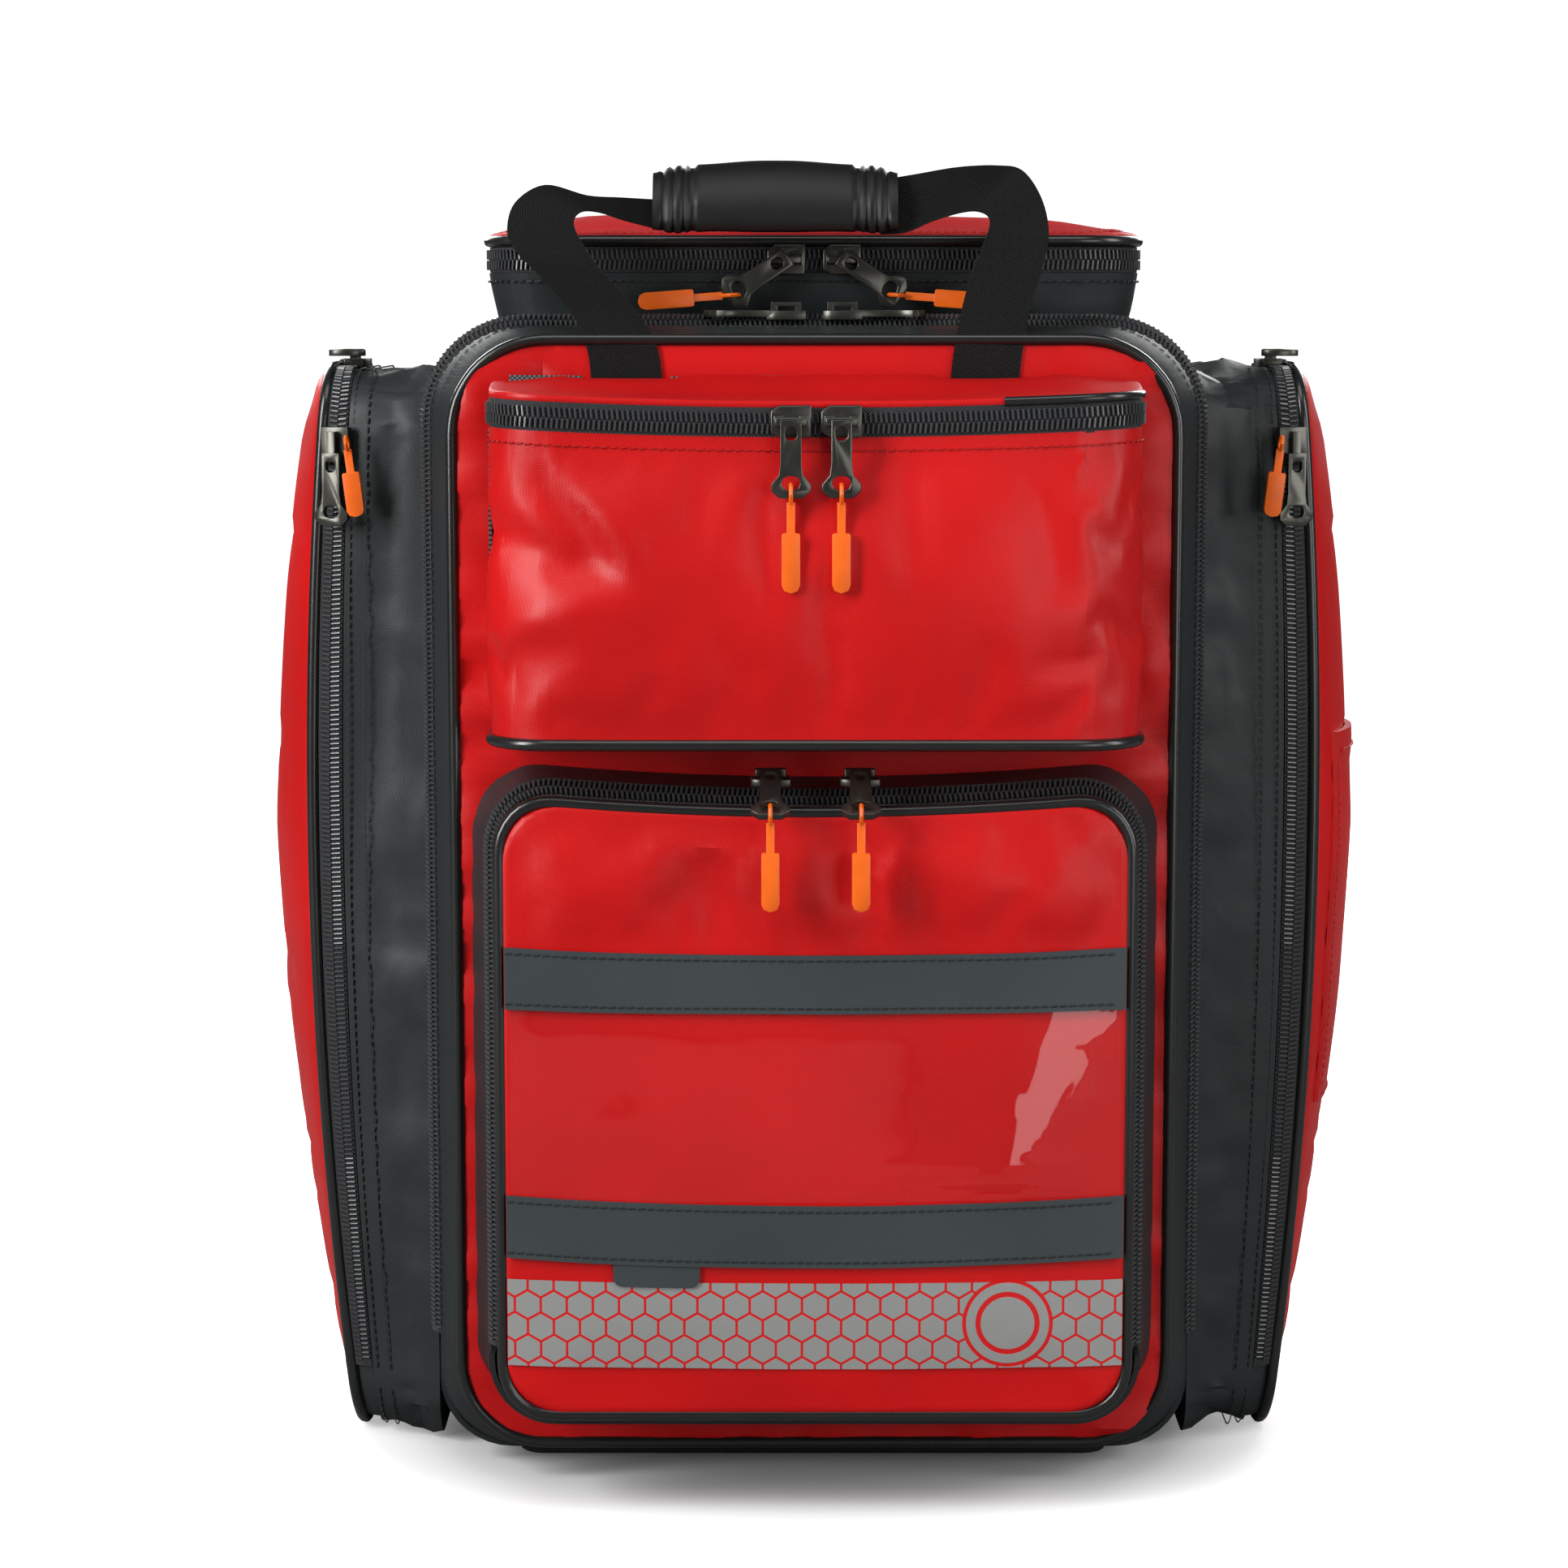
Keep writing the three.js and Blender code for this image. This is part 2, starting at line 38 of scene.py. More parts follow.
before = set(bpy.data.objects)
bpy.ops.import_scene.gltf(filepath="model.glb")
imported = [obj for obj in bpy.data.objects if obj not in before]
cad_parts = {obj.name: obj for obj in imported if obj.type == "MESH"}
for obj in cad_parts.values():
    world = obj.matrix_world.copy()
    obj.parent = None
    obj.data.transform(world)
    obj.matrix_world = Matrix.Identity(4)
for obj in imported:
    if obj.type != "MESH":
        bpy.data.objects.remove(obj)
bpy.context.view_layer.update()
MM = 0.001
HANDS = (("left", -1), ("right", 1))

# Depths are counted forwards from the middle of the pack, in millimetres, and heights from the ground.
PANEL = dict(x0=-164.5, x1=164.5, y0=20, y1=534, low=38, high=42)
FRAME = dict(x0=-178, x1=178, y0=8, y1=541, low=34, high=44)
PANEL_DEPTH = 70
ZIP_FRONT = 39.7
ZIP_BACK = 28
BACK_DEPTH = -118
HINGE_HEIGHT = 60
UPPER = dict(x0=-145, x1=145, y0=-135, y1=-70.3, low=28, high=0)
UPPER_LOW, UPPER_HIGH, UPPER_RIM = 355, 497, 509
LOWER = dict(x0=-148.5, x1=148.5, y0=42.3, y1=339.7, low=30, high=32)
LOWER_FLARE = 1.063  # how much wider the lower pocket is where it meets the panel
LOWER_BACK, LOWER_SEAM, LOWER_FACE = 71, 104, 127
COVER_INSET = 7  # how far the front of the lower cover stands in from the pocket's outline
TOP = dict(x0=-154, x1=154, y0=-12, y1=118, low=30, high=30)
TOP_LOW, TOP_HIGH, TOP_RIM = 541.3, 565, 577
SIDE = dict(x0=-22, x1=118, y0=3, y1=520, low=26, high=26)
SIDE_IN, SIDE_EDGE, SIDE_SLANT = 180.3, 243, 24
SIDE_ZIP_IN, SIDE_ZIP_OUT = 225, 237
ARC_RADIUS, ARC_HEIGHT = 2400, 300
COVER_CROWN = 23
LID_BACK = -74.5  # the seam that the upper lid turns on
UPPER_ZIP, TOP_ZIP, LOWER_ZIP = 503.1, 571.1, 110
CLOTH_STIFFNESS, CLOTH_FRAMES = 8.0, 20
STITCH_TURN = 0.12
SEAM_REACH = 0.3  # points of two cloths closer than this are sewn together
HANDLE_DEPTH, GRIP_MIDDLE = 71.3, -18
STRAP_ACROSS, STRAP_WIDTH, WEB_WIDTH = 82, 62, 25
TRIM_LIFT = 0.25  # how far flat trims lie over the face of the lower cover

AS_FRONT = Matrix.Rotation(math.pi / 2, 4, "X")  # a front view: across, up, forwards
AS_PLAN = Matrix.Identity(4)  # a plan: across, backwards, up
# A side view: backwards, up, outwards
AS_SIDE = Matrix(((0, 0, 1, 0), (1, 0, 0, 0), (0, 1, 0, 0), (0, 0, 0, 1)))


# ---- sizes and colours a user may change ----
def colour(name, description, default):
    return FloatVectorProperty(
        name=name, description=description, default=default, subtype="COLOR", min=0, max=1
    )


def length(name, description, default):
    return FloatProperty(
        name=name, description=description, default=default, subtype="DISTANCE", unit="LENGTH", min=0
    )


class BackpackSizes(bpy.types.PropertyGroup):
    """Sizes of the sewn details"""

    piping: length("Piping radius", "Radius of the round piping along the seams", 0.0026)
    tooth_pitch: length("Tooth pitch", "Distance between two turns of a zip's coil", 0.0023)
    stitch_pitch: length("Stitch pitch", "Distance between two stitches", 0.0042)
    cloth: length("Cloth thickness", "Thickness of the coated cloth with its lining", 0.0024)


class BackpackColours(bpy.types.PropertyGroup):
    """Colours of the materials"""

    red: colour("Red cloth", "Coated cloth of the panels and covers", (0.60, 0.0018, 0.0024))
    charcoal: colour("Charcoal cloth", "Coated cloth of the bands between the panels", (0.020, 0.0245, 0.026))
    black: colour("Black", "Webbing, base and pads", (0.0045, 0.0045, 0.0045))
    tape: colour("Zip tape", "Woven tape of the zips", (0.021, 0.022, 0.025))
    coil: colour("Zip coil", "Coil of the zips", (0.055, 0.057, 0.06))
    piping: colour("Piping", "Round piping", (0.010, 0.011, 0.010))
    metal: colour("Slider metal", "Plated sliders and their tabs", (0.075, 0.073, 0.064))
    orange: colour("Cord pulls", "Cords and grips of the zip pulls", (0.95, 0.15, 0.003))
    silver: colour("Reflective band", "Reflective print on the lower cover", (0.33, 0.335, 0.325))


def sizes():
    return bpy.context.scene.backpack_sizes


def colours():
    return bpy.context.scene.backpack_colours


def in_mm(value):
    return value / MM


# ---- shader helpers ----
class Term:
    """A shader value. Python arithmetic on it adds Math nodes."""

    def __init__(self, finish, socket):
        self.finish = finish
        self.socket = socket

    def maths(self, operation, *others):
        node = self.finish.node("ShaderNodeMath", {"operation": operation}, dict(enumerate((self, *others))))
        return self.finish.term(node)

    def __add__(self, other):
        return self.maths("ADD", other)

    def __radd__(self, other):
        return self + other

    def __sub__(self, other):
        return self.maths("SUBTRACT", other)

    def __rsub__(self, other):
        return self * -1 + other

    def __mul__(self, other):
        return self.maths("MULTIPLY", other)

    def __rmul__(self, other):
        return self * other

    def __truediv__(self, other):
        return self.maths("DIVIDE", other)

    def __neg__(self):
        return self * -1


class Finish:
    """A material under construction."""

    def __init__(self, name):
        self.material = bpy.data.materials.new(name)
        self.material.use_nodes = True
        self.tree = self.material.node_tree
        self.tree.nodes.clear()

    def node(self, kind, settings=None, inputs=None):
        made = self.tree.nodes.new(kind)
        for key, value in (settings or {}).items():
            setattr(made, key, value)
        for key, value in (inputs or {}).items():
            socket = made.inputs[key]
            if isinstance(value, Term):
                self.tree.links.new(value.socket, socket)
            elif hasattr(value, "__len__") and len(value) == 3 and socket.type == "RGBA":
                socket.default_value = (*value, 1)
            else:
                socket.default_value = value
        return made

    def term(self, made, output=0):
        return Term(self, made.outputs[output])

    def place(self):
        """X, Y and Z over the piece, in millimetres."""
        coords = self.term(self.node("ShaderNodeTexCoord"), "Object")
        parts = self.node("ShaderNodeSeparateXYZ", inputs={0: coords})
        return [self.term(parts, i) * 1000 for i in range(3)]

    def run(self):
        """Along and across a tape or strap, in millimetres, from its own UV map."""
        coords = self.term(self.node("ShaderNodeUVMap", {"uv_map": "run"}))
        parts = self.node("ShaderNodeSeparateXYZ", inputs={0: coords})
        return [self.term(parts, i) * 1000 for i in range(2)]

    def cloudy(self, scale, detail=2, distortion=0.0):
        coords = self.term(self.node("ShaderNodeTexCoord"), "Object")
        inputs = {"Vector": coords, "Scale": scale, "Detail": detail, "Distortion": distortion}
        return self.term(self.node("ShaderNodeTexNoise", inputs=inputs), 0)

    def blend(self, factor, first, second):
        inputs = {0: factor, 6: first, 7: second}
        return self.term(self.node("ShaderNodeMix", {"data_type": "RGBA"}, inputs), 2)

    def tones(self, factor, rgb, low, high):
        """A colour that goes from darker to lighter shades of itself."""
        return self.blend(factor, shade(rgb, low), shade(rgb, high))

    def between(self, value, low, high):
        """0 under low, 1 over high, smooth in between."""
        settings = {"interpolation_type": "SMOOTHSTEP"}
        return self.term(self.node("ShaderNodeMapRange", settings, {0: value, 1: low, 2: high}))

    def bump(self, height, distance, strength=1.0, under=None):
        inputs = {"Height": height, "Distance": distance * MM, "Strength": strength}
        if under:
            inputs["Normal"] = under
        return self.term(self.node("ShaderNodeBump", inputs=inputs))

    def surface(self, **inputs):
        names = {key.replace("_", " ").title().replace("Ior", "IOR"): value for key, value in inputs.items()}
        shader = self.node("ShaderNodeBsdfPrincipled", inputs=names)
        return self.output(self.term(shader))

    def output(self, shader):
        self.node("ShaderNodeOutputMaterial", inputs={"Surface": shader})
        return self.material


def shade(rgb, share):
    return tuple(c * share for c in rgb)


def wave(term, pitch):
    return (term * (2 * math.pi / pitch)).maths("SINE")


MATERIALS = {}


def material(key):
    if key not in MATERIALS:
        MATERIALS[key] = RECIPES[key](key)
    return MATERIALS[key]


def coated_cloth(name, rgb, roughness, deep, gloss=0.12):
    """Coated cloth: a satin film over a weave whose small diamonds show through, faintly creased."""
    finish = Finish(name)
    x, y, z = finish.place()
    across = x + y * 0.62
    up = z + y * 0.71
    weave = wave(across + up, 2.1) * wave(across - up, 2.1)
    creases = finish.cloudy(38, 4, 0.8)
    broad = finish.cloudy(9, 3, 0.3)
    tint = finish.blend(finish.between(broad, 0.3, 0.72), deep, rgb)
    rough = broad * 0.10 + creases * 0.06 + (roughness - 0.08)
    normal = finish.bump(weave, 0.05, 0.42, finish.bump(creases, 1.3, 0.28))
    return finish.surface(
        base_color=tint,
        roughness=rough,
        normal=normal,
        coat_weight=gloss,
        coat_roughness=0.3,
        specular_ior_level=0.27,
    )


def red_cloth(name):
    rgb = tuple(colours().red)
    return coated_cloth(name, rgb, 0.46, shade(rgb, 0.84))


def charcoal_cloth(name):
    rgb = tuple(colours().charcoal)
    return coated_cloth(name, rgb, 0.5, shade(rgb, 0.78), 0.05)


def band_cloth(name):
    rgb = shade(colours().charcoal, 2.4)
    return coated_cloth(name, rgb, 0.42, shade(rgb, 0.85))


def plain_weave(name):
    """Black woven cloth of the base and the back."""
    finish = Finish(name)
    x, y, z = finish.place()
    rib = wave(x + y * 0.4, 1.5) * wave(z + y * 0.8, 1.5)
    rgb = tuple(colours().black)
    tint = finish.tones(finish.between(rib, -1, 1), rgb, 0.6, 2.2)
    normal = finish.bump(rib, 0.15, 0.6)
    return finish.surface(base_color=tint, roughness=0.8 - finish.cloudy(30) * 0.1, normal=normal)


def air_mesh(name):
    """Open spacer mesh of the back pad and straps: rows of small round holes."""
    finish = Finish(name)
    x, y, z = finish.place()
    holes = wave(x, 4.2) * wave(z + y * 0.5, 3.4)
    rgb = tuple(colours().black)
    hole = finish.between(holes, 0.15, 0.6)
    tint = finish.tones(hole, rgb, 5, 0.5)
    normal = finish.bump(-hole, 0.7, 0.7)
    return finish.surface(
        base_color=tint, roughness=0.86 - hole * 0.05, normal=normal, specular_ior_level=0.25
    )


def zip_tape(name):
    """Herringbone tape of a zip."""
    finish = Finish(name)
    along, across = finish.run()
    side = across.maths("ABSOLUTE")
    ribs = wave(along + side * 1.1, 1.5)
    rgb = tuple(colours().tape)
    tint = finish.tones(finish.between(ribs, -0.8, 0.9), rgb, 0.35, 1.9)
    return finish.surface(base_color=tint, roughness=0.62 + ribs * 0.05, normal=finish.bump(ribs, 0.25, 0.8))


def webbing(name):
    """Twill webbing with diagonal ribs."""
    finish = Finish(name)
    along, across = finish.run()
    ribs = wave(across + along * 0.45, 1.25)
    fine = wave(along, 0.9)
    rgb = tuple(colours().black)
    tint = finish.tones(finish.between(ribs, -0.7, 0.9), rgb, 0.4, 2.6)
    normal = finish.bump(ribs + fine * 0.3, 0.35, 1.0)
    return finish.surface(
        base_color=tint, roughness=0.74 - ribs * 0.05, normal=normal, specular_ior_level=0.22
    )


def binding(name):
    """Grey and black woven tape that binds the raw edges."""
    finish = Finish(name)
    along, across = finish.run()
    check = wave(along, 2.2) * wave(across, 2.0)
    tint = finish.blend(finish.between(check, -0.35, 0.45), (0.012, 0.013, 0.014), (0.13, 0.135, 0.14))
    return finish.surface(base_color=tint, roughness=0.75 + check * 0.05, normal=finish.bump(check, 0.4, 0.8))


def moulded(name, rgb, roughness, grain=0.3, **more):
    finish = Finish(name)
    speckle = finish.cloudy(900, 3)
    broad = finish.cloudy(60, 2)
    tint = finish.blend(finish.between(broad, 0.3, 0.7), shade(rgb, 0.86), rgb)
    rough = broad * 0.08 + (roughness - 0.04)
    return finish.surface(base_color=tint, roughness=rough, normal=finish.bump(speckle, 0.12, grain), **more)


def piping_vinyl(name):
    return moulded(name, tuple(colours().piping), 0.27, 0.12, coat_weight=0.3, coat_roughness=0.2)


def coil_plastic(name):
    return moulded(name, tuple(colours().coil), 0.3, 0.1, coat_weight=0.2)


def grip_rubber(name):
    return moulded(name, tuple(colours().black), 0.46, 0.4, specular_ior_level=0.35)


def cord_plastic(name):
    return moulded(name, tuple(colours().orange), 0.42, 0.2, subsurface_weight=0.12, subsurface_scale=0.002)


def dark_thread(name):
    return moulded(name, (0.012, 0.013, 0.014), 0.6, 0.3)


def red_thread(name):
    return moulded(name, shade(colours().red, 0.8), 0.5, 0.3)


def slider_metal(name):
    """Dark plating, with brighter worn patches."""
    finish = Finish(name)
    worn = finish.between(finish.cloudy(90, 2, 0.2), 0.4, 0.8)
    rgb = tuple(colours().metal)
    tint = finish.blend(worn, rgb, shade(rgb, 1.25))
    rough = worn * 0.06 + 0.3
    return finish.surface(
        base_color=tint,
        metallic=0.85,
        roughness=rough,
        normal=finish.bump(finish.cloudy(700, 2), 0.08, 0.25),
    )


def clear_film(name):
    """Clear glossy film: mostly see-through, it mirrors the lights."""
    finish = Finish(name)
    ripples = finish.cloudy(16, 3, 0.6)
    normal = finish.bump(ripples, 3.0, 0.35)
    clear = finish.node("ShaderNodeBsdfTransparent", inputs={"Color": (0.99, 0.98, 0.98)})
    gloss = finish.node("ShaderNodeBsdfGlossy", inputs={"Roughness": 0.04, "Normal": normal})
    share = finish.term(finish.node("ShaderNodeFresnel", inputs={"IOR": 1.55}))
    inner = finish.term(finish.node("ShaderNodeNewGeometry"), "Backfacing")
    mixed = finish.node(
        "ShaderNodeMixShader",
        inputs={0: (share * 1.05) * (1 - inner), 1: finish.term(clear), 2: finish.term(gloss)},
    )
    return finish.output(finish.term(mixed))


def reflective_print(name):
    """Silver hexagons printed on red cloth, round a plain double ring."""
    finish = Finish(name)
    x, _, z = finish.place()
    pitch, line = 11.8, 1.15
    row = pitch * math.sqrt(3) / 2

    def gap(shift_x, shift_z):
        """Distance from the middle of the nearest cell of one of the two interleaved grids."""
        u = (x + shift_x).maths("PINGPONG", pitch / 2)
        v = (z + shift_z).maths("PINGPONG", row)
        return u.maths("MAXIMUM", u * 0.5 + v * (math.sqrt(3) / 2))

    inside = gap(0, 0).maths("MINIMUM", gap(pitch / 2, row))
    edge = pitch / 2 - inside
    hexagon = finish.between(edge, line / 2 - 0.1, line / 2 + 0.1)
    dx, dz = x - 87, z - 94
    radius = (dx * dx + dz * dz).maths("SQRT")
    disc = 1 - finish.between(radius, 12.0, 12.3)
    ring = finish.between(radius, 14.4, 14.7) * (1 - finish.between(radius, 18.6, 18.9))
    clear = 1 - finish.between(radius, 20.4, 20.7)
    silver = (hexagon * (1 - clear)).maths("MAXIMUM", disc.maths("MAXIMUM", ring))
    red = tuple(colours().red)
    grain = finish.cloudy(500, 2)
    tint = finish.blend(silver, red, tuple(colours().silver))
    rough = 0.44 - silver * 0.04 + grain * 0.05
    return finish.surface(
        base_color=tint, roughness=rough, metallic=silver * 0.25, normal=finish.bump(silver, 0.12, 0.4)
    )


def floor_white(name):
    """White floor and backdrop, paler to the camera than to the light bouncing off it. Only the camera sees
    its glow, which fades near the pack into a painted contact shadow.
    """
    finish = Finish(name)
    x, y, _ = finish.place()
    x, y = x / 315, (y - 5) / 205
    # painted contact shadow: the camera-only glow is dark near the pack and full away from it
    glow = finish.between((x * x + y * y).maths("SQRT"), 0.42, 1.02)
    seen = finish.term(finish.node("ShaderNodeLightPath"), "Is Camera Ray")
    # painted light: camera rays see a paler floor than the light that bounces off it onto the pack
    tint = finish.blend(seen, (0.22, 0.22, 0.22), (0.8, 0.8, 0.8))
    glow = finish.blend(glow * seen, (0, 0, 0), (1, 1, 1))
    return finish.surface(
        base_color=tint, roughness=0.9, specular_ior_level=0.0, emission_color=glow, emission_strength=1
    )


RECIPES = {
    recipe.__name__: recipe
    for recipe in (
        red_cloth, charcoal_cloth, band_cloth, plain_weave, air_mesh, zip_tape, webbing, binding,
        piping_vinyl, coil_plastic, grip_rubber, cord_plastic, dark_thread, red_thread, slider_metal,
        clear_film, reflective_print, floor_white,
    )
}


# ---- mesh helpers, all in millimetres until a piece is finished ----
def move(bm, vec):
    bmesh.ops.translate(bm, vec=vec, verts=bm.verts)


def stretch(bm, vec):
    bmesh.ops.scale(bm, vec=vec, verts=bm.verts)


def orient(bm, matrix):
    bmesh.ops.transform(bm, matrix=matrix, verts=bm.verts)


def bevel(bm, geom, radius, segments, affect="EDGES", **more):
    bmesh.ops.bevel(
        bm, geom=geom, offset=radius, segments=segments, profile=0.5, affect=affect, material=-1, **more
    )


def outwards(bm):
    bmesh.ops.recalc_face_normals(bm, faces=bm.faces)


def rotate(bm, angle, axis, centre=(0, 0, 0)):
    bmesh.ops.rotate(bm, cent=centre, matrix=Matrix.Rotation(angle, 3, axis), verts=bm.verts)


def everything(bm):
    return bm.verts[:] + bm.edges[:] + bm.faces[:]


def new_verts(made):
    return [g for g in made["geom"] if isinstance(g, bmesh.types.BMVert)]


def cut(bm, point, normal, clear=False):
    """Cuts a mesh with a plane, and may remove what lies beyond it."""
    bmesh.ops.bisect_plane(
        bm, geom=everything(bm), dist=1e-4, plane_co=point, plane_no=normal, clear_outer=clear
    )


def join(bm, other):
    """Moves another bmesh into this one."""
    spare = bpy.data.meshes.new("spare")
    other.to_mesh(spare)
    other.free()
    bm.from_mesh(spare)
    bpy.data.meshes.remove(spare)


def slab(size, centre):
    """A plain box."""
    bm = bmesh.new()
    bmesh.ops.create_cube(bm, size=1)
    stretch(bm, size)
    move(bm, centre)
    return bm


def plate(x0, x1, y0, y1, low=0, high=0, segments=9):
    """A flat rectangle whose lower and upper corners are rounded."""
    bm = bmesh.new()
    bmesh.ops.create_grid(bm, x_segments=1, y_segments=1, size=0.5)
    stretch(bm, (x1 - x0, y1 - y0, 1))
    move(bm, ((x0 + x1) / 2, (y0 + y1) / 2, 0))
    middle = (y0 + y1) / 2
    for radius, lower in ((low, True), (high, False)):
        corners = [v for v in bm.verts if (v.co.y < middle) == lower]
        if radius > 0:
            bevel(bm, corners, radius, segments, affect="VERTICES")
    bm.faces.ensure_lookup_table()
    if bm.faces[0].normal.z < 0:
        bmesh.ops.reverse_faces(bm, faces=bm.faces)
    return bm


def outline(spec, inset=0):
    """The points round a plate, anticlockwise."""
    bm = plate(
        spec["x0"] + inset,
        spec["x1"] - inset,
        spec["y0"] + inset,
        spec["y1"] - inset,
        max(spec["low"] - inset, 0),
        max(spec["high"] - inset, 0),
    )
    points = [loop.vert.co.copy() for loop in bm.faces[0].loops]
    bm.free()
    return points


def deepen(bm, z0, z1):
    """Raises a plate into a closed block from z0 to z1."""
    move(bm, (0, 0, z0))
    base = bm.faces[:]
    top = new_verts(bmesh.ops.extrude_face_region(bm, geom=base, use_keep_orig=True))
    bmesh.ops.translate(bm, vec=(0, 0, z1 - z0), verts=top)
    outwards(bm)


def block(spec, z0, z1, segments=9):
    bm = plate(spec["x0"], spec["x1"], spec["y0"], spec["y1"], spec["low"], spec["high"], segments)
    deepen(bm, z0, z1)
    return bm


def drop(bm, test):
    """Removes the faces whose centre passes a test."""
    doomed = [f for f in bm.faces if test(f.calc_center_median(), f.normal)]
    bmesh.ops.delete(bm, geom=doomed, context="FACES")


def walls(spec, z0, z1):
    """The sides of a block, without its two flat faces."""
    bm = block(spec, z0, z1)
    drop(bm, lambda c, n: abs(n.z) > 0.9)
    return bm


def from_edge(spec, p):
    """How far a point lies inside a plate's nearest edge."""
    return min(spec["x1"] - abs(p.x), p.y - spec["y0"], spec["y1"] - p.y)


def slices(bm, step, axes="xyz"):
    """Cuts a mesh with evenly spaced planes, so that it can bend."""
    for axis, letter in enumerate("xyz"):
        if letter not in axes:
            continue
        values = [v.co[axis] for v in bm.verts]
        low, high = min(values), max(values)
        count = int((high - low) / step)
        normal = [0, 0, 0]
        normal[axis] = 1
        for i in range(1, count + 1):
            point = [0, 0, 0]
            point[axis] = low + (high - low) * i / (count + 1)
            cut(bm, point, normal)


def soften(bm, radius, test, segments=3):
    """Rounds the sharp edges whose middle passes a test."""
    edges = [
        e
        for e in bm.edges
        if len(e.link_faces) == 2 and e.calc_face_angle(0) > 0.7 and test((e.verts[0].co + e.verts[1].co) / 2)
    ]
    if edges:
        bevel(bm, edges, radius, segments, clamp_overlap=True)


def thicken(bm):
    """Gives an open shell the thickness of the cloth, inwards."""
    outwards(bm)
    bmesh.ops.solidify(bm, geom=bm.faces[:], thickness=in_mm(sizes().cloth))


def shape(bm, rule):
    for vert in bm.verts:
        rule(vert.co)


def along_normals(bm, height):
    """Moves each point out by height(point)."""
    bm.normal_update()
    moves = [(vert, vert.normal * height(vert.co)) for vert in bm.verts]
    for vert, way in moves:
        vert.co += way


def finish_piece(
    name, bm, key, body, replaces=None, view=AS_PLAN, mirror=False, rules=(), sharp=35
):
    """Turns a bmesh in millimetres into a piece in place, which rides on a CAD body."""
    orient(bm, view)
    for rule in rules:
        shape(bm, rule)
    if mirror:
        stretch(bm, (-1, 1, 1))
        bmesh.ops.reverse_faces(bm, faces=bm.faces)
    stretch(bm, (MM, MM, MM))
    mesh = bpy.data.meshes.new(name)
    bm.to_mesh(mesh)
    bm.free()
    mesh.polygons.foreach_set("use_smooth", [True] * len(mesh.polygons))
    mesh.set_sharp_from_angle(angle=math.radians(sharp))
    mesh.materials.append(material(key))
    obj = bpy.data.objects.new(name, mesh)
    bpy.context.scene.collection.objects.link(obj)
    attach(obj, body)
    if replaces:
        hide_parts(replaces)
    return obj


class Track:
    """A line that a tape, a row of teeth or a piping follows, in the plane of a view."""

    STEP = 2.5

    def __init__(self, points, closed=False):
        points = [Vector(p[:2]) for p in points]
        if closed:
            points.append(points[0].copy())
        self.points = [points[0]]
        for a, b in zip(points, points[1:]):
            parts = max(1, round((b - a).length / self.STEP))
            self.points += [a.lerp(b, i / parts) for i in range(1, parts + 1)]
        self.lengths = [0.0]
        for a, b in zip(self.points, self.points[1:]):
            self.lengths.append(self.lengths[-1] + (b - a).length)
        self.length = self.lengths[-1]
        last = len(self.points) - 1
        self.ways = []
        for i in range(last + 1):
            before, after = max(i - 1, 0), min(i + 1, last)
            if closed and i in (0, last):
                before, after = last - 1, 1
            self.ways.append((self.points[after] - self.points[before]).normalized())
        self.at_index = 0

    def at(self, s):
        """The point and the direction at a distance along the line."""
        s = min(max(s, 0), self.length)
        i = self.at_index
        while i > 0 and self.lengths[i] > s:
            i -= 1
        while i < len(self.lengths) - 2 and self.lengths[i + 1] < s:
            i += 1
        self.at_index = i
        share = (s - self.lengths[i]) / (self.lengths[i + 1] - self.lengths[i])
        way = self.ways[i].lerp(self.ways[i + 1], share).normalized()
        return self.points[i].lerp(self.points[i + 1], share), way

    def bend(self, bm):
        """Lays a straight mesh along the line. X runs along it, Y is the depth, and Z points outwards."""
        for vert in bm.verts:
            along, depth, out = vert.co
            point, way = self.at(along)
            vert.co = (point.x + way.y * out, point.y - way.x * out, depth)


def part_of(points, keep):
    """The run of a closed line's points that pass a test, in order."""
    fine = Track(points, closed=True).points[:-1]
    flags = [keep(p) for p in fine]
    start = next(i for i in range(len(fine)) if flags[i] and not flags[i - 1])
    run = []
    for i in range(len(fine)):
        j = (start + i) % len(fine)
        if not flags[j]:
            break
        run.append(fine[j])
    return run


def mark_run(bm, along=0):
    """Keeps how far along one axis and how far across each point lies, for the weave."""
    layer = bm.loops.layers.uv.new("run")
    for face in bm.faces:
        for loop in face.loops:
            loop[layer].uv = (loop.vert.co[along] * MM, loop.vert.co.y * MM)


def strip(length_mm, y0, y1, z0, z1, step=4, cuts=1):
    """A straight tape of a given section, ready to bend."""
    bm = slab((length_mm, y1 - y0, z1 - z0), (length_mm / 2, 0, (z0 + z1) / 2))
    long_edges = [e for e in bm.edges if abs(e.verts[0].co.x - e.verts[1].co.x) > length_mm / 2]
    bmesh.ops.subdivide_edges(bm, edges=long_edges, cuts=max(1, int(length_mm / step)), use_grid_fill=True)
    wide_edges = [e for e in bm.edges if abs(e.verts[0].co.y - e.verts[1].co.y) > (y1 - y0) / 2]
    bmesh.ops.subdivide_edges(bm, edges=wide_edges, cuts=cuts, use_grid_fill=True)
    mark_run(bm)
    move(bm, (0, (y0 + y1) / 2, 0))
    return bm


def rod(length_mm, radius, z, depth):
    """A straight round rod along X, ready to bend."""
    bm = bmesh.new()
    bmesh.ops.create_circle(bm, cap_ends=True, segments=12, radius=radius)
    rotate(bm, math.pi / 2, "Y")
    far = new_verts(bmesh.ops.extrude_face_region(bm, geom=bm.faces[:], use_keep_orig=True))
    bmesh.ops.translate(bm, vec=(length_mm, 0, 0), verts=far)
    long_edges = [e for e in bm.edges if abs(e.verts[0].co.x - e.verts[1].co.x) > length_mm / 2]
    bmesh.ops.subdivide_edges(bm, edges=long_edges, cuts=max(1, int(length_mm / 5)), use_grid_fill=True)
    move(bm, (0, depth, z))
    outwards(bm)
    return bm


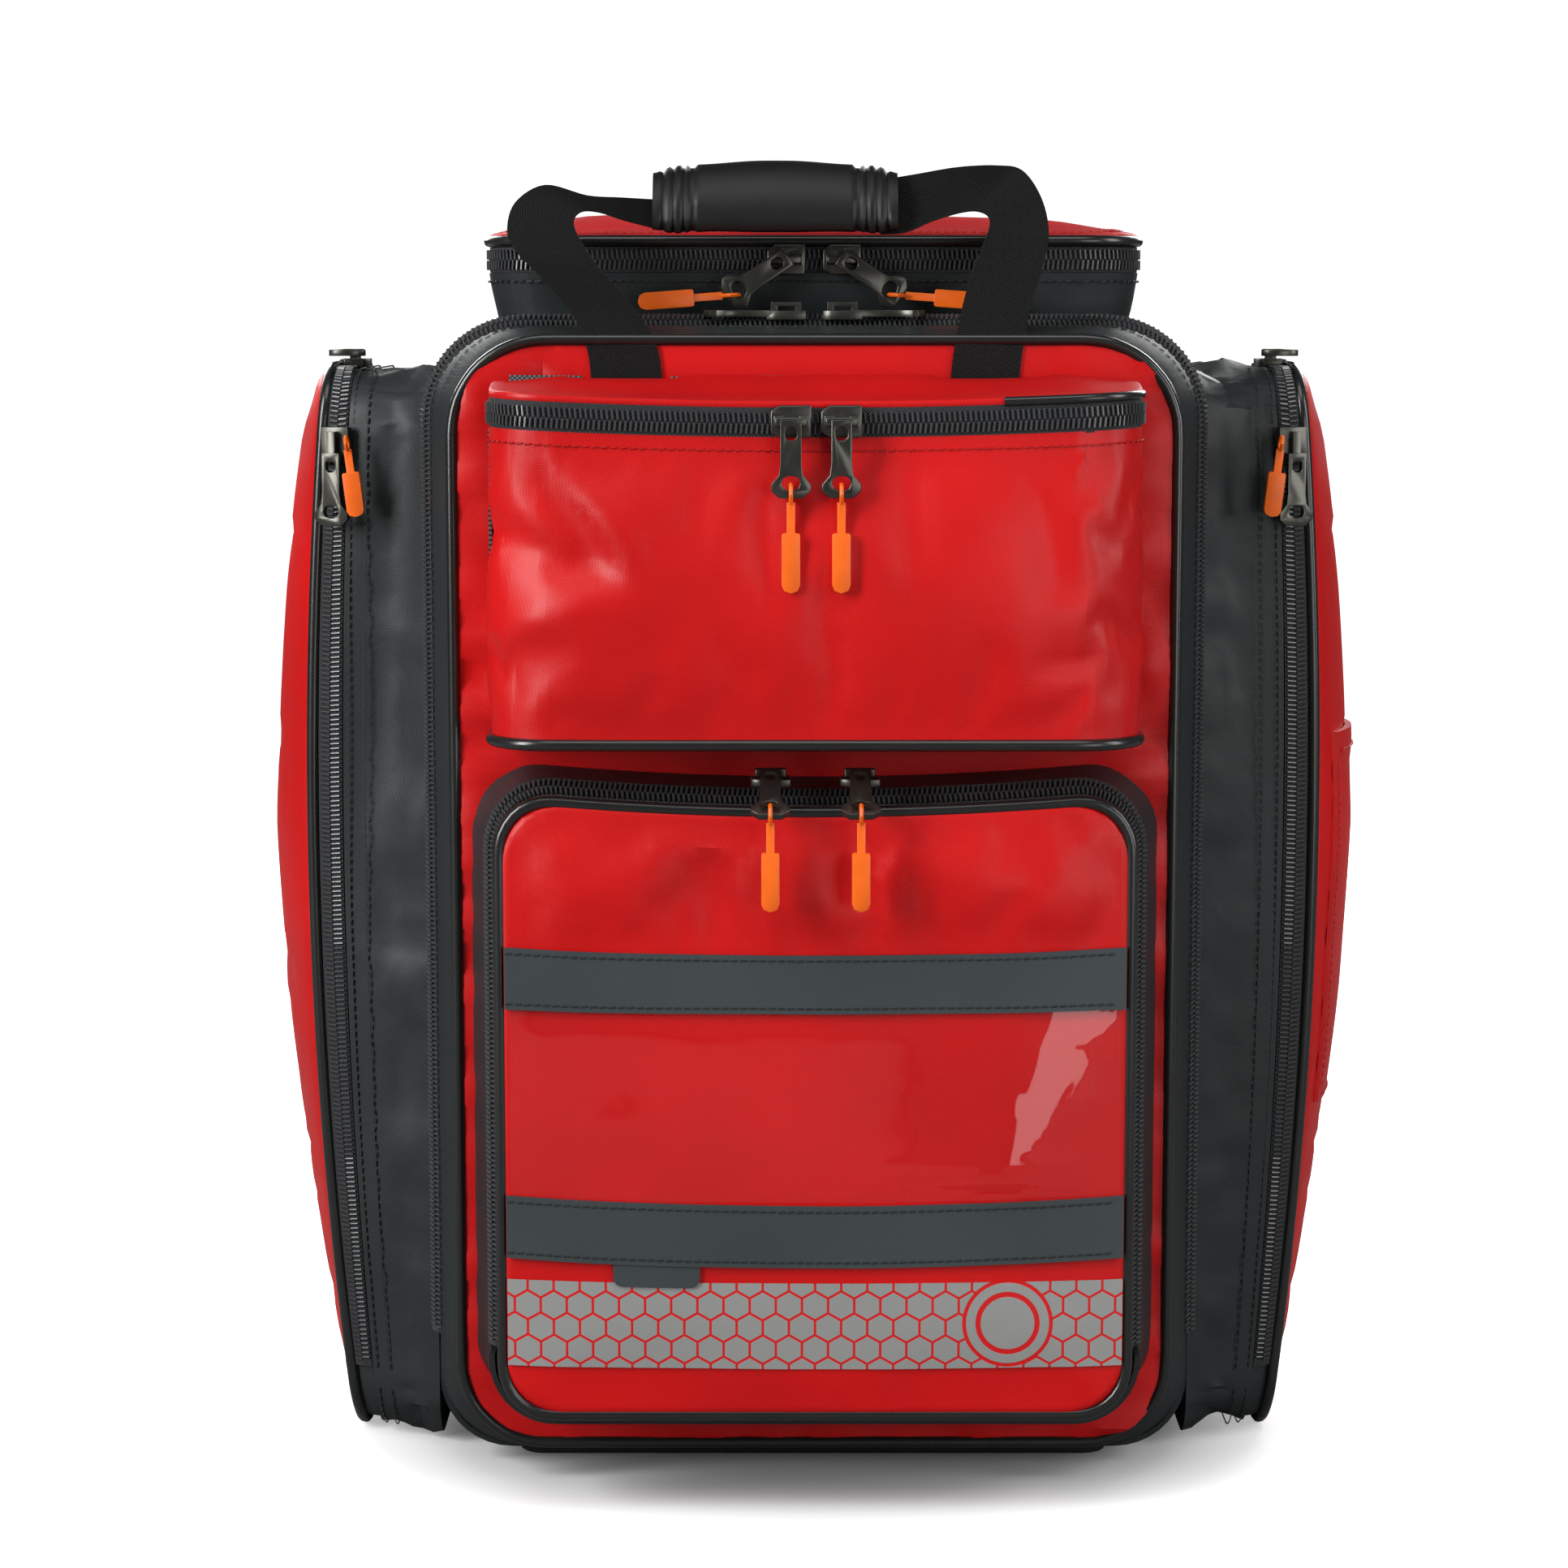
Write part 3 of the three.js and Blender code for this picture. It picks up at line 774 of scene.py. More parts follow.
def opening():
    """The line of the main zip: the frame without its bottom seam."""
    return Track(part_of(outline(FRAME), lambda p: p.y > HINGE_HEIGHT))


def backing(name, track, low, high, out, view=AS_PLAN, rules=(), mirror=False):
    """Dark cloth behind a zip."""
    bm = strip(track.length, low, high, out, out + 0.3)
    track.bend(bm)
    finish_piece(
        name, bm, "charcoal_cloth", "pack_body", view=view, rules=rules, mirror=mirror
    )


def piping(name, track, depth, body, view, rules=(), out=0.0, mirror=False, radius=None):
    """Round piping along a line."""
    radius = radius or in_mm(sizes().piping)
    bm = rod(track.length, radius, out, depth)
    track.bend(bm)
    return finish_piece(
        name, bm, "piping_vinyl", body, view=view, rules=rules, mirror=mirror, sharp=80
    )


def repeat(bm, pitch, length_mm):
    """Repeats a mesh along X at a pitch, up to a length."""
    count = 1
    while count * pitch < length_mm:
        verts = new_verts(bmesh.ops.duplicate(bm, geom=everything(bm)))
        bmesh.ops.translate(bm, vec=(count * pitch, 0, 0), verts=verts)
        count *= 2
    spare = [v for v in bm.verts if v.co.x > length_mm]
    islands = set(spare)
    for vert in spare:
        islands.update(v for f in vert.link_faces for v in f.verts)
    bmesh.ops.delete(bm, geom=list(islands), context="VERTS")


def bar(bm, size, centre, tilt=0.0):
    """A small six-sided bar: size is its length, width and height."""
    length_mm, width, height = size
    made = bmesh.ops.create_cone(
        bm, cap_ends=True, cap_tris=False, segments=6, radius1=0.5, radius2=0.5, depth=1
    )["verts"]
    grown = Matrix.Diagonal((length_mm, width, height, 1))
    for matrix in (Matrix.Rotation(math.pi / 2, 4, "Y"), grown, Matrix.Rotation(tilt, 4, "Z")):
        bmesh.ops.transform(bm, matrix=matrix, verts=made)
    bmesh.ops.translate(bm, vec=centre, verts=made)


def stitches(name, track, depth, out, body, view, key="dark_thread", rules=(), mirror=False, thick=0.9):
    """A line of stitches sunk a little into the cloth."""
    bm = bmesh.new()
    pitch = in_mm(sizes().stitch_pitch)
    bar(bm, (pitch * 0.68, thick, thick), (pitch, depth, out), STITCH_TURN)
    repeat(bm, pitch, track.length - pitch)
    track.bend(bm)
    return finish_piece(name, bm, key, body, view=view, rules=rules, mirror=mirror, sharp=60)


def tilted(bm, depth, out, tilt):
    """Turns a straight tape about its own middle line, so that it faces more to the front."""
    rotate(bm, -tilt, "X", (0, depth, out))


def coil(name, track, depth, out, body, view, rules=(), mirror=False, tilt=0.0):
    """The two interlocked rows of a closed coil zip."""
    bm = bmesh.new()
    pitch = in_mm(sizes().tooth_pitch)
    for side in (-1, 1):
        centre = (pitch + side * pitch / 4, depth + side * 2.45, out + 0.6)
        bar(bm, (4.3, 1.3, 1.7), centre, side * 0.1 + math.pi / 2)
    repeat(bm, pitch, track.length - pitch)
    tilted(bm, depth, out, tilt)
    track.bend(bm)
    finish_piece(
        name, bm, "coil_plastic", body, view=view, rules=rules, mirror=mirror, sharp=60
    )


def zip_band(
    prefix, track, depth, body, view, replaces, rules=(), mirror=False, half_width=5.85, out=0.0, tilt=0.0
):
    """A zip: its tape, folded up a little towards the chain, and its coil."""
    bm = strip(track.length, depth - half_width, depth + half_width, out - 2.4, out - 0.6, cuts=7)
    shape(bm, lambda p: setattr(p, "z", p.z + 0.5 * max(0, 1 - abs(p.y - depth) / 4.5)))
    tilted(bm, depth, out, tilt)
    track.bend(bm)
    finish_piece(
        f"{prefix}_tape", bm, "zip_tape", body, replaces, view=view, rules=rules, mirror=mirror
    )
    coil(f"{prefix}_coil", track, depth, out - 0.3, body, view, rules, mirror, tilt)


# ---- soft shapes ----
def settle(bm, free, pressure, grow, cap):
    """Lets a shell swell as cloth where free(point) is over 0, and moves no point further than the cap."""
    scene = bpy.context.scene
    stretch(bm, (MM, MM, MM))
    bm.normal_update()
    mesh = bpy.data.meshes.new("settling")
    bm.to_mesh(mesh)
    stretch(bm, (1 / MM,) * 3)
    obj = bpy.data.objects.new("settling", mesh)
    scene.collection.objects.link(obj)
    held = obj.vertex_groups.new(name="held")
    bm.verts.index_update()
    for vert in bm.verts:
        held.add([vert.index], 1 - min(1.0, max(0.0, free(vert.co))), "REPLACE")
    cloth = obj.modifiers.new("cloth", "CLOTH")
    cloth.settings.quality = 6
    cloth.settings.mass = 0.25
    cloth.settings.tension_stiffness = CLOTH_STIFFNESS
    cloth.settings.compression_stiffness = CLOTH_STIFFNESS
    cloth.settings.bending_stiffness = 0.6
    cloth.settings.vertex_group_mass = "held"
    cloth.settings.shrink_min = -grow
    cloth.settings.shrink_max = -grow
    cloth.settings.use_pressure = True
    cloth.settings.uniform_pressure_force = pressure
    cloth.settings.effector_weights.gravity = 0
    cloth.collision_settings.use_collision = False
    for number in range(1, CLOTH_FRAMES + 1):
        scene.frame_set(number)
    evaluated = obj.evaluated_get(bpy.context.evaluated_depsgraph_get())
    settled = evaluated.to_mesh()
    for vert in bm.verts:
        way = settled.vertices[vert.index].co / MM - vert.co
        if way.length > cap:
            way *= cap / way.length
        vert.co += way
    evaluated.to_mesh_clear()
    scene.frame_set(1)
    bpy.data.objects.remove(obj)
    bpy.data.meshes.remove(mesh)


def smoothstep(value, low, high):
    t = min(1.0, max(0.0, (value - low) / (high - low)))
    return t * t * (3 - 2 * t)


def ripple(p, size, seed=0.0, shares=(1, 1, 1)):
    """Soft noise between -1 and 1 with waves of about a size."""
    q = Vector((p[0] * shares[0], p[1] * shares[1], p[2] * shares[2])) / size
    return noise.noise(q + Vector((seed, seed * 1.7, -seed)))


def crumple(p, size, seed=0.0, shares=(1, 1, 1)):
    """Sharper folds: ridges where soft noise changes sign."""
    return 1 - 2 * abs(ripple(p, size, seed, shares))


def fold(x, y, start, end, width, height):
    """A fold from one point to another, highest in its middle."""
    a, b, q = Vector(start), Vector(end), Vector((x, y))
    way = b - a
    t = min(1.0, max(0.0, (q - a).dot(way) / way.length_squared))
    off = (q - a - way * t).length
    return height * math.exp(-((off / width) ** 2)) * math.sin(math.pi * (0.12 + 0.76 * t))


def upper_sag(p):
    """The opening of the upper pocket hangs a little in its middle."""
    share = smoothstep(p.z, 430, 500) * smoothstep(-p.y, 72, 130)
    p.z -= 4.0 * max(0.0, 1 - (p.x / 145) ** 2) * share


def lower_sag(p):
    """So does the top of the lower cover."""
    share = smoothstep(p.z, 225, 340)
    p.z -= 6.5 * max(0.0, 1 - (p.x / 135) ** 2) * share


def cover_bulge(x, z):
    """How far the lower cover stands out: pillowed, with soft dents."""
    edge = min(150 - abs(x), z - 40, 342 - z)
    pillow = 3.2 * smoothstep(edge, 0, 60)
    dents = 1.3 * ripple((x, 0, z), 70, 3.1) + 0.5 * crumple((x, 0, z), 55, 8.0)
    pull = fold(x, z, (-60, 335), (-105, 292), 16, 1.6) + fold(x, z, (40, 332), (92, 292), 18, 1.6)
    return pillow + (dents + pull) * smoothstep(edge, 2, 26)


def bow(z):
    return math.sqrt(ARC_RADIUS**2 - (z - ARC_HEIGHT) ** 2) - ARC_RADIUS


def side_place(p):
    """Slants the front of a side pocket backwards and bows it inwards towards its top and bottom."""
    t = (p.x - SIDE_IN) / (SIDE_EDGE - SIDE_IN)
    p.y += SIDE_SLANT * t * (1 - (p.y - SIDE["x0"]) / (SIDE["x1"] - SIDE["x0"]))
    p.x += bow(p.z) * max(0.0, t)


def fullness(z):
    if z < ARC_HEIGHT:
        return max(0.0, (z - SIDE["y0"]) / (ARC_HEIGHT - SIDE["y0"])) ** 0.55
    return max(0.0, (SIDE["y1"] - z) / (SIDE["y1"] - ARC_HEIGHT)) ** 0.3


def crown(y, z):
    """How far a side cover stands out over its piping."""
    front = SIDE["x0"] + SIDE_SLANT
    share = min(1.0, max(0.0, (y - front) / (SIDE["x1"] - front)))
    return COVER_CROWN * math.sin(math.pi * share) ** 0.8 * fullness(z)


def cover_height(p):
    """How far the cloth of a side cover stands out, with its soft dents."""
    soft = 0.9 * ripple(p, 80, 4.0) + 0.3 * crumple(p, 70, 9.0)
    height = crown(p.y, p.z)
    return height + soft * min(1, height / 12)


# ---- operators ----
class BackpackOperator:
    bl_options = {"REGISTER", "UNDO"}

    def execute(self, context):
        self.build()
        return {"FINISHED"}


class BACKPACK_OT_stage(BackpackOperator, bpy.types.Operator):
    """Makes the floor, the backdrop, the soft lights and the camera"""

    bl_idname = "backpack.stage"
    bl_label = "Stage"

    def build(self):
        scene = bpy.context.scene
        bm = bmesh.new()
        bmesh.ops.create_grid(bm, x_segments=1, y_segments=1, size=6)
        far = [e for e in bm.edges if all(v.co.y > 1 for v in e.verts)]
        lifted = new_verts(bmesh.ops.extrude_edge_only(bm, edges=far))
        bmesh.ops.translate(bm, vec=(0, 0, 6), verts=lifted)
        corner = [e for e in bm.edges if all(abs(v.co.z) < 1e-6 and v.co.y > 1 for v in e.verts)]
        bevel(bm, corner, 3, 16)
        mesh = bpy.data.meshes.new("floor")
        bm.to_mesh(mesh)
        bm.free()
        mesh.polygons.foreach_set("use_smooth", [True] * len(mesh.polygons))
        mesh.materials.append(material("floor_white"))
        floor = bpy.data.objects.new("floor", mesh)
        scene.collection.objects.link(floor)

        world = bpy.data.worlds.new("studio")
        world.use_nodes = True
        back = world.node_tree.nodes["Background"]
        back.inputs["Color"].default_value = (1, 1, 1, 1)
        seen = world.node_tree.nodes.new("ShaderNodeLightPath")
        strength = world.node_tree.nodes.new("ShaderNodeMapRange")
        strength.inputs["To Min"].default_value = 0.1
        strength.inputs["To Max"].default_value = 1.0
        world.node_tree.links.new(seen.outputs["Is Camera Ray"], strength.inputs["Value"])
        world.node_tree.links.new(strength.outputs[0], back.inputs["Strength"])
        scene.world = world

        self.light("left_box", (-1.75, -1.25, 1.2), (-0.1, -0.05, 0.3), 0.7, 1.7, 56)
        self.light("right_box", (1.95, -0.85, 1.1), (0.1, -0.05, 0.3), 0.7, 1.7, 20)
        self.light("window_box", (0.92, -1.7, 0.48), (0.05, -0.12, 0.35), 0.85, 0.9, 7)
        self.light("top_box", (0, -0.9, 2.2), (0, 0, 0.3), 1.4, 0.9, 11)
        self.light("back_left_box", (-1.2, 2.1, 1.4), (0, 0.1, 0.3), 1.0, 1.2, 30)
        self.light("back_right_box", (1.2, 2.1, 1.4), (0, 0.1, 0.3), 1.0, 1.2, 30)

        data = bpy.data.cameras.new("camera")
        data.lens = 84.9
        data.sensor_width = 36
        camera = bpy.data.objects.new("camera", data)
        camera.location = (-0.014, -1.7555, 0.5537)
        camera.rotation_euler = (math.radians(82.5), 0, 0)
        scene.collection.objects.link(camera)
        scene.camera = camera
        scene.view_settings.view_transform = "Standard"

    @staticmethod
    def light(name, place, target, width, height, power):
        data = bpy.data.lights.new(name, "AREA")
        data.shape = "RECTANGLE"
        data.size = width
        data.size_y = height
        data.energy = power
        lamp = bpy.data.objects.new(name, data)
        lamp.location = place
        lamp.rotation_euler = (Vector(target) - Vector(place)).to_track_quat("-Z", "Y").to_euler()
        bpy.context.scene.collection.objects.link(lamp)


class BACKPACK_OT_main_body(BackpackOperator, bpy.types.Operator):
    """Makes the deep charcoal band of the main compartment, its back, its base and the main zip"""

    bl_idname = "backpack.main_body"
    bl_label = "Main compartment"

    def build(self):
        bm = walls(FRAME, BACK_DEPTH + 0.1, ZIP_BACK - 0.4)
        slices(bm, 13)

        def wrinkle(p):
            held = smoothstep(p.z, ZIP_BACK - 2, ZIP_BACK - 20)
            return (1.6 * ripple(p, 60, 2.0) + 0.8 * crumple(p, 45, 5.0, (1, 1, 0.6)) - 1.0) * held

        along_normals(bm, wrinkle)
        thicken(bm)
        finish_piece("main_band", bm, "charcoal_cloth", "pack_body", "main_gusset", AS_FRONT)

        bm = block(FRAME, -124, BACK_DEPTH - 0.4)
        soften(bm, 2, lambda p: True, 2)
        slices(bm, 20, "xy")
        finish_piece("back_cloth", bm, "charcoal_cloth", "pack_body", "back_panel", AS_FRONT)
        inner = Track(outline(FRAME, 9), closed=True)
        stitches("back_stitches", inner, -124.3, 0, "pack_body", AS_FRONT)
        closed = Track(outline(FRAME), closed=True)
        piping("back_piping", closed, -121.5, "pack_body", AS_FRONT, out=-1)

        bm = block(dict(x0=-142, x1=142, y0=-27.7, y1=118, low=12, high=12), 0, 7.7, 4)
        soften(bm, 1.5, lambda p: True, 2)
        finish_piece("base_cloth", bm, "plain_weave", "pack_body", "base_panel")

        run = opening()
        middle = (ZIP_FRONT + ZIP_BACK) / 2
        zip_band(
            "main_zip", run, middle, "pack_body", AS_FRONT, "main_zip", out=1.8, tilt=0.6, half_width=6.3
        )
        stitches("main_stitches", run, ZIP_BACK - 4, 0.1, "pack_body", AS_FRONT)


class BACKPACK_OT_front(BackpackOperator, bpy.types.Operator):
    """Makes the red front panel, the charcoal band behind it and the piping between them"""

    bl_idname = "backpack.front"
    bl_label = "Front panel"

    def build(self):
        bm = block(PANEL, PANEL_DEPTH - 4, PANEL_DEPTH)
        slices(bm, 7, "xy")

        def puckers(p):
            edge = from_edge(PANEL, p)
            beside = smoothstep(edge, 1, 8) * smoothstep(edge, 40, 20)
            shares = (0.35, 1, 1) if abs(p.x) > 130 else (1, 0.5, 1)
            wave_height = 4.2 * ripple(p, 17, 4.0, shares) + 1.6 * crumple(p, 23, 9.0, shares)
            beside *= 1 - smoothstep(p.y, 496, 508) * smoothstep(abs(p.x), 118, 108)
            lump = (wave_height + 0.4) * beside
            if p.y > 498 and abs(p.x) < 148:
                lump = min(lump, 1.2)
            return lump if p.z > PANEL_DEPTH - 1 else 0.0

        shape(bm, lambda p: setattr(p, "z", p.z + puckers(p)))
        finish_piece("front_cloth", bm, "red_cloth", "front", "front_panel", AS_FRONT)
        closed = Track(outline(PANEL), closed=True)
        piping("panel_piping", closed, PANEL_DEPTH - 0.6, "front", AS_FRONT, out=0.6, radius=2.9)

        bm = walls(PANEL, ZIP_FRONT + 0.5, PANEL_DEPTH - 4.4)
        slices(bm, 9)
        low, high = ZIP_FRONT + 0.5, PANEL_DEPTH - 4.4
        middle, wide = (PANEL["y0"] + PANEL["y1"]) / 2, FRAME["x1"] / PANEL["x1"]
        middle_at_zip = (FRAME["y0"] + FRAME["y1"]) / 2
        tall = (FRAME["y1"] - FRAME["y0"]) / (PANEL["y1"] - PANEL["y0"])

        def flare(p):
            t = (high - p.z) / (high - low)
            p.x *= 1 + t * (wide - 1)
            p.y = middle + t * (middle_at_zip - middle) + (p.y - middle) * (1 + t * (tall - 1))

        shape(bm, flare)

        def drape(p):
            t = (high - p.z) / (high - low)
            held = math.sin(math.pi * min(1, max(0, t)))
            return (1.4 + 1.1 * ripple(p, 42, 1.0, (1, 1, 0.4)) + 0.5 * crumple(p, 50, 6.0)) * held - 0.2

        along_normals(bm, drape)
        ring = walls(FRAME, ZIP_BACK + 0.2, ZIP_FRONT + 0.5)
        cut(ring, (0, HINGE_HEIGHT - 0.4, 0), (0, 1, 0), True)
        slices(ring, 9)
        join(bm, ring)
        bmesh.ops.remove_doubles(bm, verts=bm.verts, dist=SEAM_REACH)
        thicken(bm)
        finish_piece("front_band", bm, "charcoal_cloth", "front", "front_gusset", AS_FRONT)
        run = opening()
        stitches("front_band_stitches", run, ZIP_FRONT + 4, -0.6, "front", AS_FRONT)


class BACKPACK_OT_upper_pocket(BackpackOperator, bpy.types.Operator):
    """Makes the red upper pocket with its zip, lid, piping and binding tape"""

    bl_idname = "backpack.upper_pocket"
    bl_label = "Upper pocket"

    # Start and end (across and height), width and height of each crease in the front
    CREASES = (
        ((-128, 487), (-88, 432), 10, -5.4),
        ((-114, 482), (-76, 436), 8, 3.6),
        ((-140, 450), (-86, 430), 11, -4.0),
        ((-134, 408), (-84, 428), 9, 3.8),
        ((-112, 384), (-50, 400), 16, -3.0),
        ((96, 492), (104, 400), 16, -3.4),
        ((60, 480), (84, 420), 20, 1.8),
        ((120, 470), (112, 392), 10, 1.6),
    )

    def build(self):
        bm = block(UPPER, UPPER_LOW, UPPER_HIGH)
        drop(bm, lambda c, n: n.z > 0.9 or n.y > 0.9)
        soften(bm, 5, lambda p: p.z < UPPER_LOW + 1, 3)
        slices(bm, 5.5)

        def cloth(p):
            held = smoothstep(p.z, UPPER_HIGH, UPPER_HIGH - 40)
            held *= smoothstep(p.z, UPPER_LOW - 6, UPPER_LOW + 26)
            held *= smoothstep(-p.y, 74, 96)
            belly = 3.5 * smoothstep(145 - abs(p.x), 0, 70)
            folds = sum(fold(p.x, p.z, *crease) for crease in self.CREASES)
            soft = 1.2 * ripple(p, 75, 12.0) + 0.3 * crumple(p, 60, 7.0)
            return (belly + folds + soft) * held

        along_normals(bm, cloth)

        def loose(p):
            away = min(p.z - UPPER_LOW - 4, UPPER_HIGH - 4 - p.z, -74 - p.y)
            return smoothstep(away, 0, 12)

        outwards(bm)
        settle(bm, loose, 2.0, 0.012, 7)
        thicken(bm)
        rules = (upper_sag,)
        finish_piece(
            "upper_pocket_cloth", bm, "red_cloth", "front", "upper_pocket_walls", rules=rules
        )
        run = Track(self.front_run())
        piping("upper_pocket_piping", run, UPPER_LOW + 2.6, "front", AS_PLAN, rules, out=0.2, radius=2.7)
        zip_band("upper_zip", run, UPPER_ZIP, "front", AS_PLAN, "upper_zip", rules, out=0.6, half_width=6.8)
        stitches("upper_stitches", run, 491, 0.5, "front", AS_PLAN, "red_thread", rules)

        lid = dict(UPPER, y1=LID_BACK)
        bm = block(lid, UPPER_RIM + 0.3, UPPER_RIM + 4)
        soften(bm, 1.5, lambda p: True, 2)
        slices(bm, 8, "xy")

        def dome(p):
            edge = min(UPPER["x1"] - abs(p.x), p.y - UPPER["y0"])
            rise = 3.2 * smoothstep(edge, 0, 40) + 1.2 * ripple(p, 45, 3.0) * smoothstep(edge, 0, 14)
            rise += 3.5 * smoothstep(p.y, -125, -90)
            rise *= smoothstep(-p.y, 74, 84)
            under_leg = smoothstep(abs(abs(p.x + 4) - 81), 26, 19) * smoothstep(p.y, -100, -80)
            if p.z > UPPER_RIM + 2:
                p.z += rise * (1 - 0.9 * under_leg)

        shape(bm, dome)
        finish_piece("upper_lid_cloth", bm, "red_cloth", "upper_lid", "upper_lid", rules=rules)
        edge = Track([p for p in run.points if p.x > 80])
        piping("upper_lid_piping", edge, UPPER_RIM + 2.2, "upper_lid", AS_PLAN, rules, out=-0.4, radius=2.1)
        for name, start, width in (("left", -138, 33), ("middle", -65, 112)):
            bm = strip(width, -3, 3, -0.8, 0.8, cuts=3)
            rotate(bm, math.radians(66), "X")
            move(bm, (start, -78.2, 515.8))
            shape(bm, self.curl)
            finish_piece(f"lid_binding_{name}", bm, "binding", "upper_lid", rules=rules)
        bm = slab((1.4, 13, 62), (0, 0, 0))
        slices(bm, 5, "yz")
        mark_run(bm, along=2)
        move(bm, (-146.6, -79, 464))
        finish_piece("pocket_binding", bm, "binding", "front")

    @staticmethod
    def curl(p):
        """The binding lies unevenly and dips towards one end."""
        p.z = p.z + 1.0 * ripple(p, 40, 2.0) - 3.0 * smoothstep(p.x, -10, 45)

    @staticmethod
    def front_run():
        """The outline of the pocket, from one end of its back to the other."""
        points = outline(UPPER)
        start = min(range(len(points)), key=lambda i: (-points[i].y, points[i].x))
        return points[start:] + points[:start]


class BACKPACK_OT_lower_pocket(BackpackOperator, bpy.types.Operator):
    """Makes the lower pocket: its sides, its zip and its cover with bands, window and reflective print"""

    bl_idname = "backpack.lower_pocket"
    bl_label = "Lower pocket"

    def build(self):
        face = LOWER_FACE
        rules = (lower_sag,)
        bm = walls(LOWER, LOWER_BACK, LOWER_SEAM)
        slices(bm, 8)
        middle = (LOWER["y0"] + LOWER["y1"]) / 2
        deep = LOWER_SEAM - LOWER_BACK

        def flare(p):
            t = (LOWER_SEAM - p.z) / deep
            p.x *= 1 + t * (LOWER_FLARE - 1)
            p.y = middle + (p.y - middle) * (1 + 0.015 * t)

        shape(bm, flare)

        def drape(p):
            return (0.9 * ripple(p, 30, 4.0) - 0.8) * math.sin(math.pi * (LOWER_SEAM - p.z) / deep)

        along_normals(bm, drape)
        strip_low = walls(LOWER, LOWER_SEAM - 0.1, 115.8)
        cut(strip_low, (0, 75, 0), (0, 1, 0), True)
        join(bm, strip_low)
        bmesh.ops.remove_doubles(bm, verts=bm.verts, dist=SEAM_REACH)
        thicken(bm)
        finish_piece(
            "lower_pocket_band", bm, "charcoal_cloth", "front", "lower_pocket_walls",
            AS_FRONT, rules=rules,
        )
        run = Track(part_of(outline(LOWER), lambda p: p.y > 76))
        zip_band(
            "lower_zip", run, LOWER_ZIP, "front", AS_FRONT,
            "lower_zip", rules, out=-2.2, tilt=0.62, half_width=6.6,
        )

        bm = block(LOWER, 116.2, face)
        drop(bm, lambda c, n: n.z < -0.9)
        soften(bm, 4, lambda p: p.z > face - 1, 3)
        slices(bm, 6, "xy")

        def pillow(p):
            edge = smoothstep(p.z, 118, face)
            p.z += cover_bulge(p.x, p.y) * edge
            p.x *= 1 - COVER_INSET / 148.5
            p.y = middle + (p.y - middle) * (1 - COVER_INSET / 148.7)

        shape(bm, pillow)
        outwards(bm)

        def loose(p):
            """The part over the upper band."""
            return smoothstep(p.y, 262, 276) * smoothstep(133 - abs(p.x), 0, 10) * smoothstep(p.y, 328, 318)

        settle(bm, loose, 0.8, 0.015, 5)
        thicken(bm)
        finish_piece(
            "lower_cover_cloth", bm, "red_cloth", "lower_flap", "lower_cover", AS_FRONT, rules=rules
        )
        closed = Track(outline(LOWER, COVER_INSET), closed=True)
        piping("lower_piping", closed, face - 2.6, "lower_flap", AS_FRONT, rules, out=-0.2, radius=2.9)
        self.trim(rules)

    def trim(self, rules):
        face = LOWER_FACE

        def on_cover(bm, sag=0.0):
            def lay(p):
                p.y -= sag * max(0.0, 1 - (p.x / 145) ** 2)
                p.z += cover_bulge(p.x, p.y)

            shape(bm, lay)

        def sew(name, bm, key, node=None):
            return finish_piece(name, bm, key, "lower_flap", node, AS_FRONT, rules=rules)

        def patch(x0, x1, z0, z1, y0, y1, step=6):
            bm = slab((x1 - x0, z1 - z0, y1 - y0), ((x0 + x1) / 2, (z0 + z1) / 2, (y0 + y1) / 2))
            slices(bm, step, "xy")
            return bm

        for name, node, low, high, sag in (
            ("band_upper", "trim_band_upper", 238, 266, 1.5),
            ("band_lower", "trim_band_lower", 124.5, 153, 4.5),
        ):
            bm = patch(-139, 139, low, high, face + 0.7, face + 2.3)
            on_cover(bm, sag)
            sew(f"{name}_cloth", bm, "band_cloth", node)
            for edge in (low + 2.6, high - 2.6):
                bm = bmesh.new()
                pitch = in_mm(sizes().stitch_pitch)
                bar(bm, (pitch * 0.7, 0.95, 0.8), (0, 0, 0), STITCH_TURN)
                repeat(bm, pitch, 274)
                move(bm, (-137, edge, face + 2.4))
                on_cover(bm, sag)
                where = "low" if edge < (low + high) / 2 else "high"
                sew(f"{name}_stitches_{where}", bm, "dark_thread")
        bm = patch(-137, 137, 150, 241, face + TRIM_LIFT, face + 0.55, 4)

        def loose_film(p):
            edge = smoothstep(min(137 - abs(p.x), p.y - 152, 239 - p.y), 0, 14)
            swell = smoothstep(p.x, 15, 78) * smoothstep(p.x, 138, 82) * (13 - 12 * smoothstep(p.y, 135, 250))
            ripples = 0.8 * (1 + ripple((p.x, 0, p.y), 38, 21)) + 0.5 * (1 + ripple((p.x, 0, p.y), 19, 5))
            p.z += edge * (swell + ripples)

        shape(bm, loose_film)
        on_cover(bm)
        film = sew("window_film", bm, "clear_film", "document_window")
        film.visible_shadow = False
        bm = patch(-139, 139, 74, 114, face + TRIM_LIFT, face + 0.6)
        on_cover(bm, 1.5)
        sew("reflective_cloth", bm, "reflective_print", "reflective_band")
        bm = plate(-91, -52, 113.2, 126, 4, 0, 4)
        deepen(bm, face + 0.6, face + 1.6)
        slices(bm, 6, "xy")
        on_cover(bm, 3)
        sew("label_cloth", bm, "band_cloth", "label_tab")


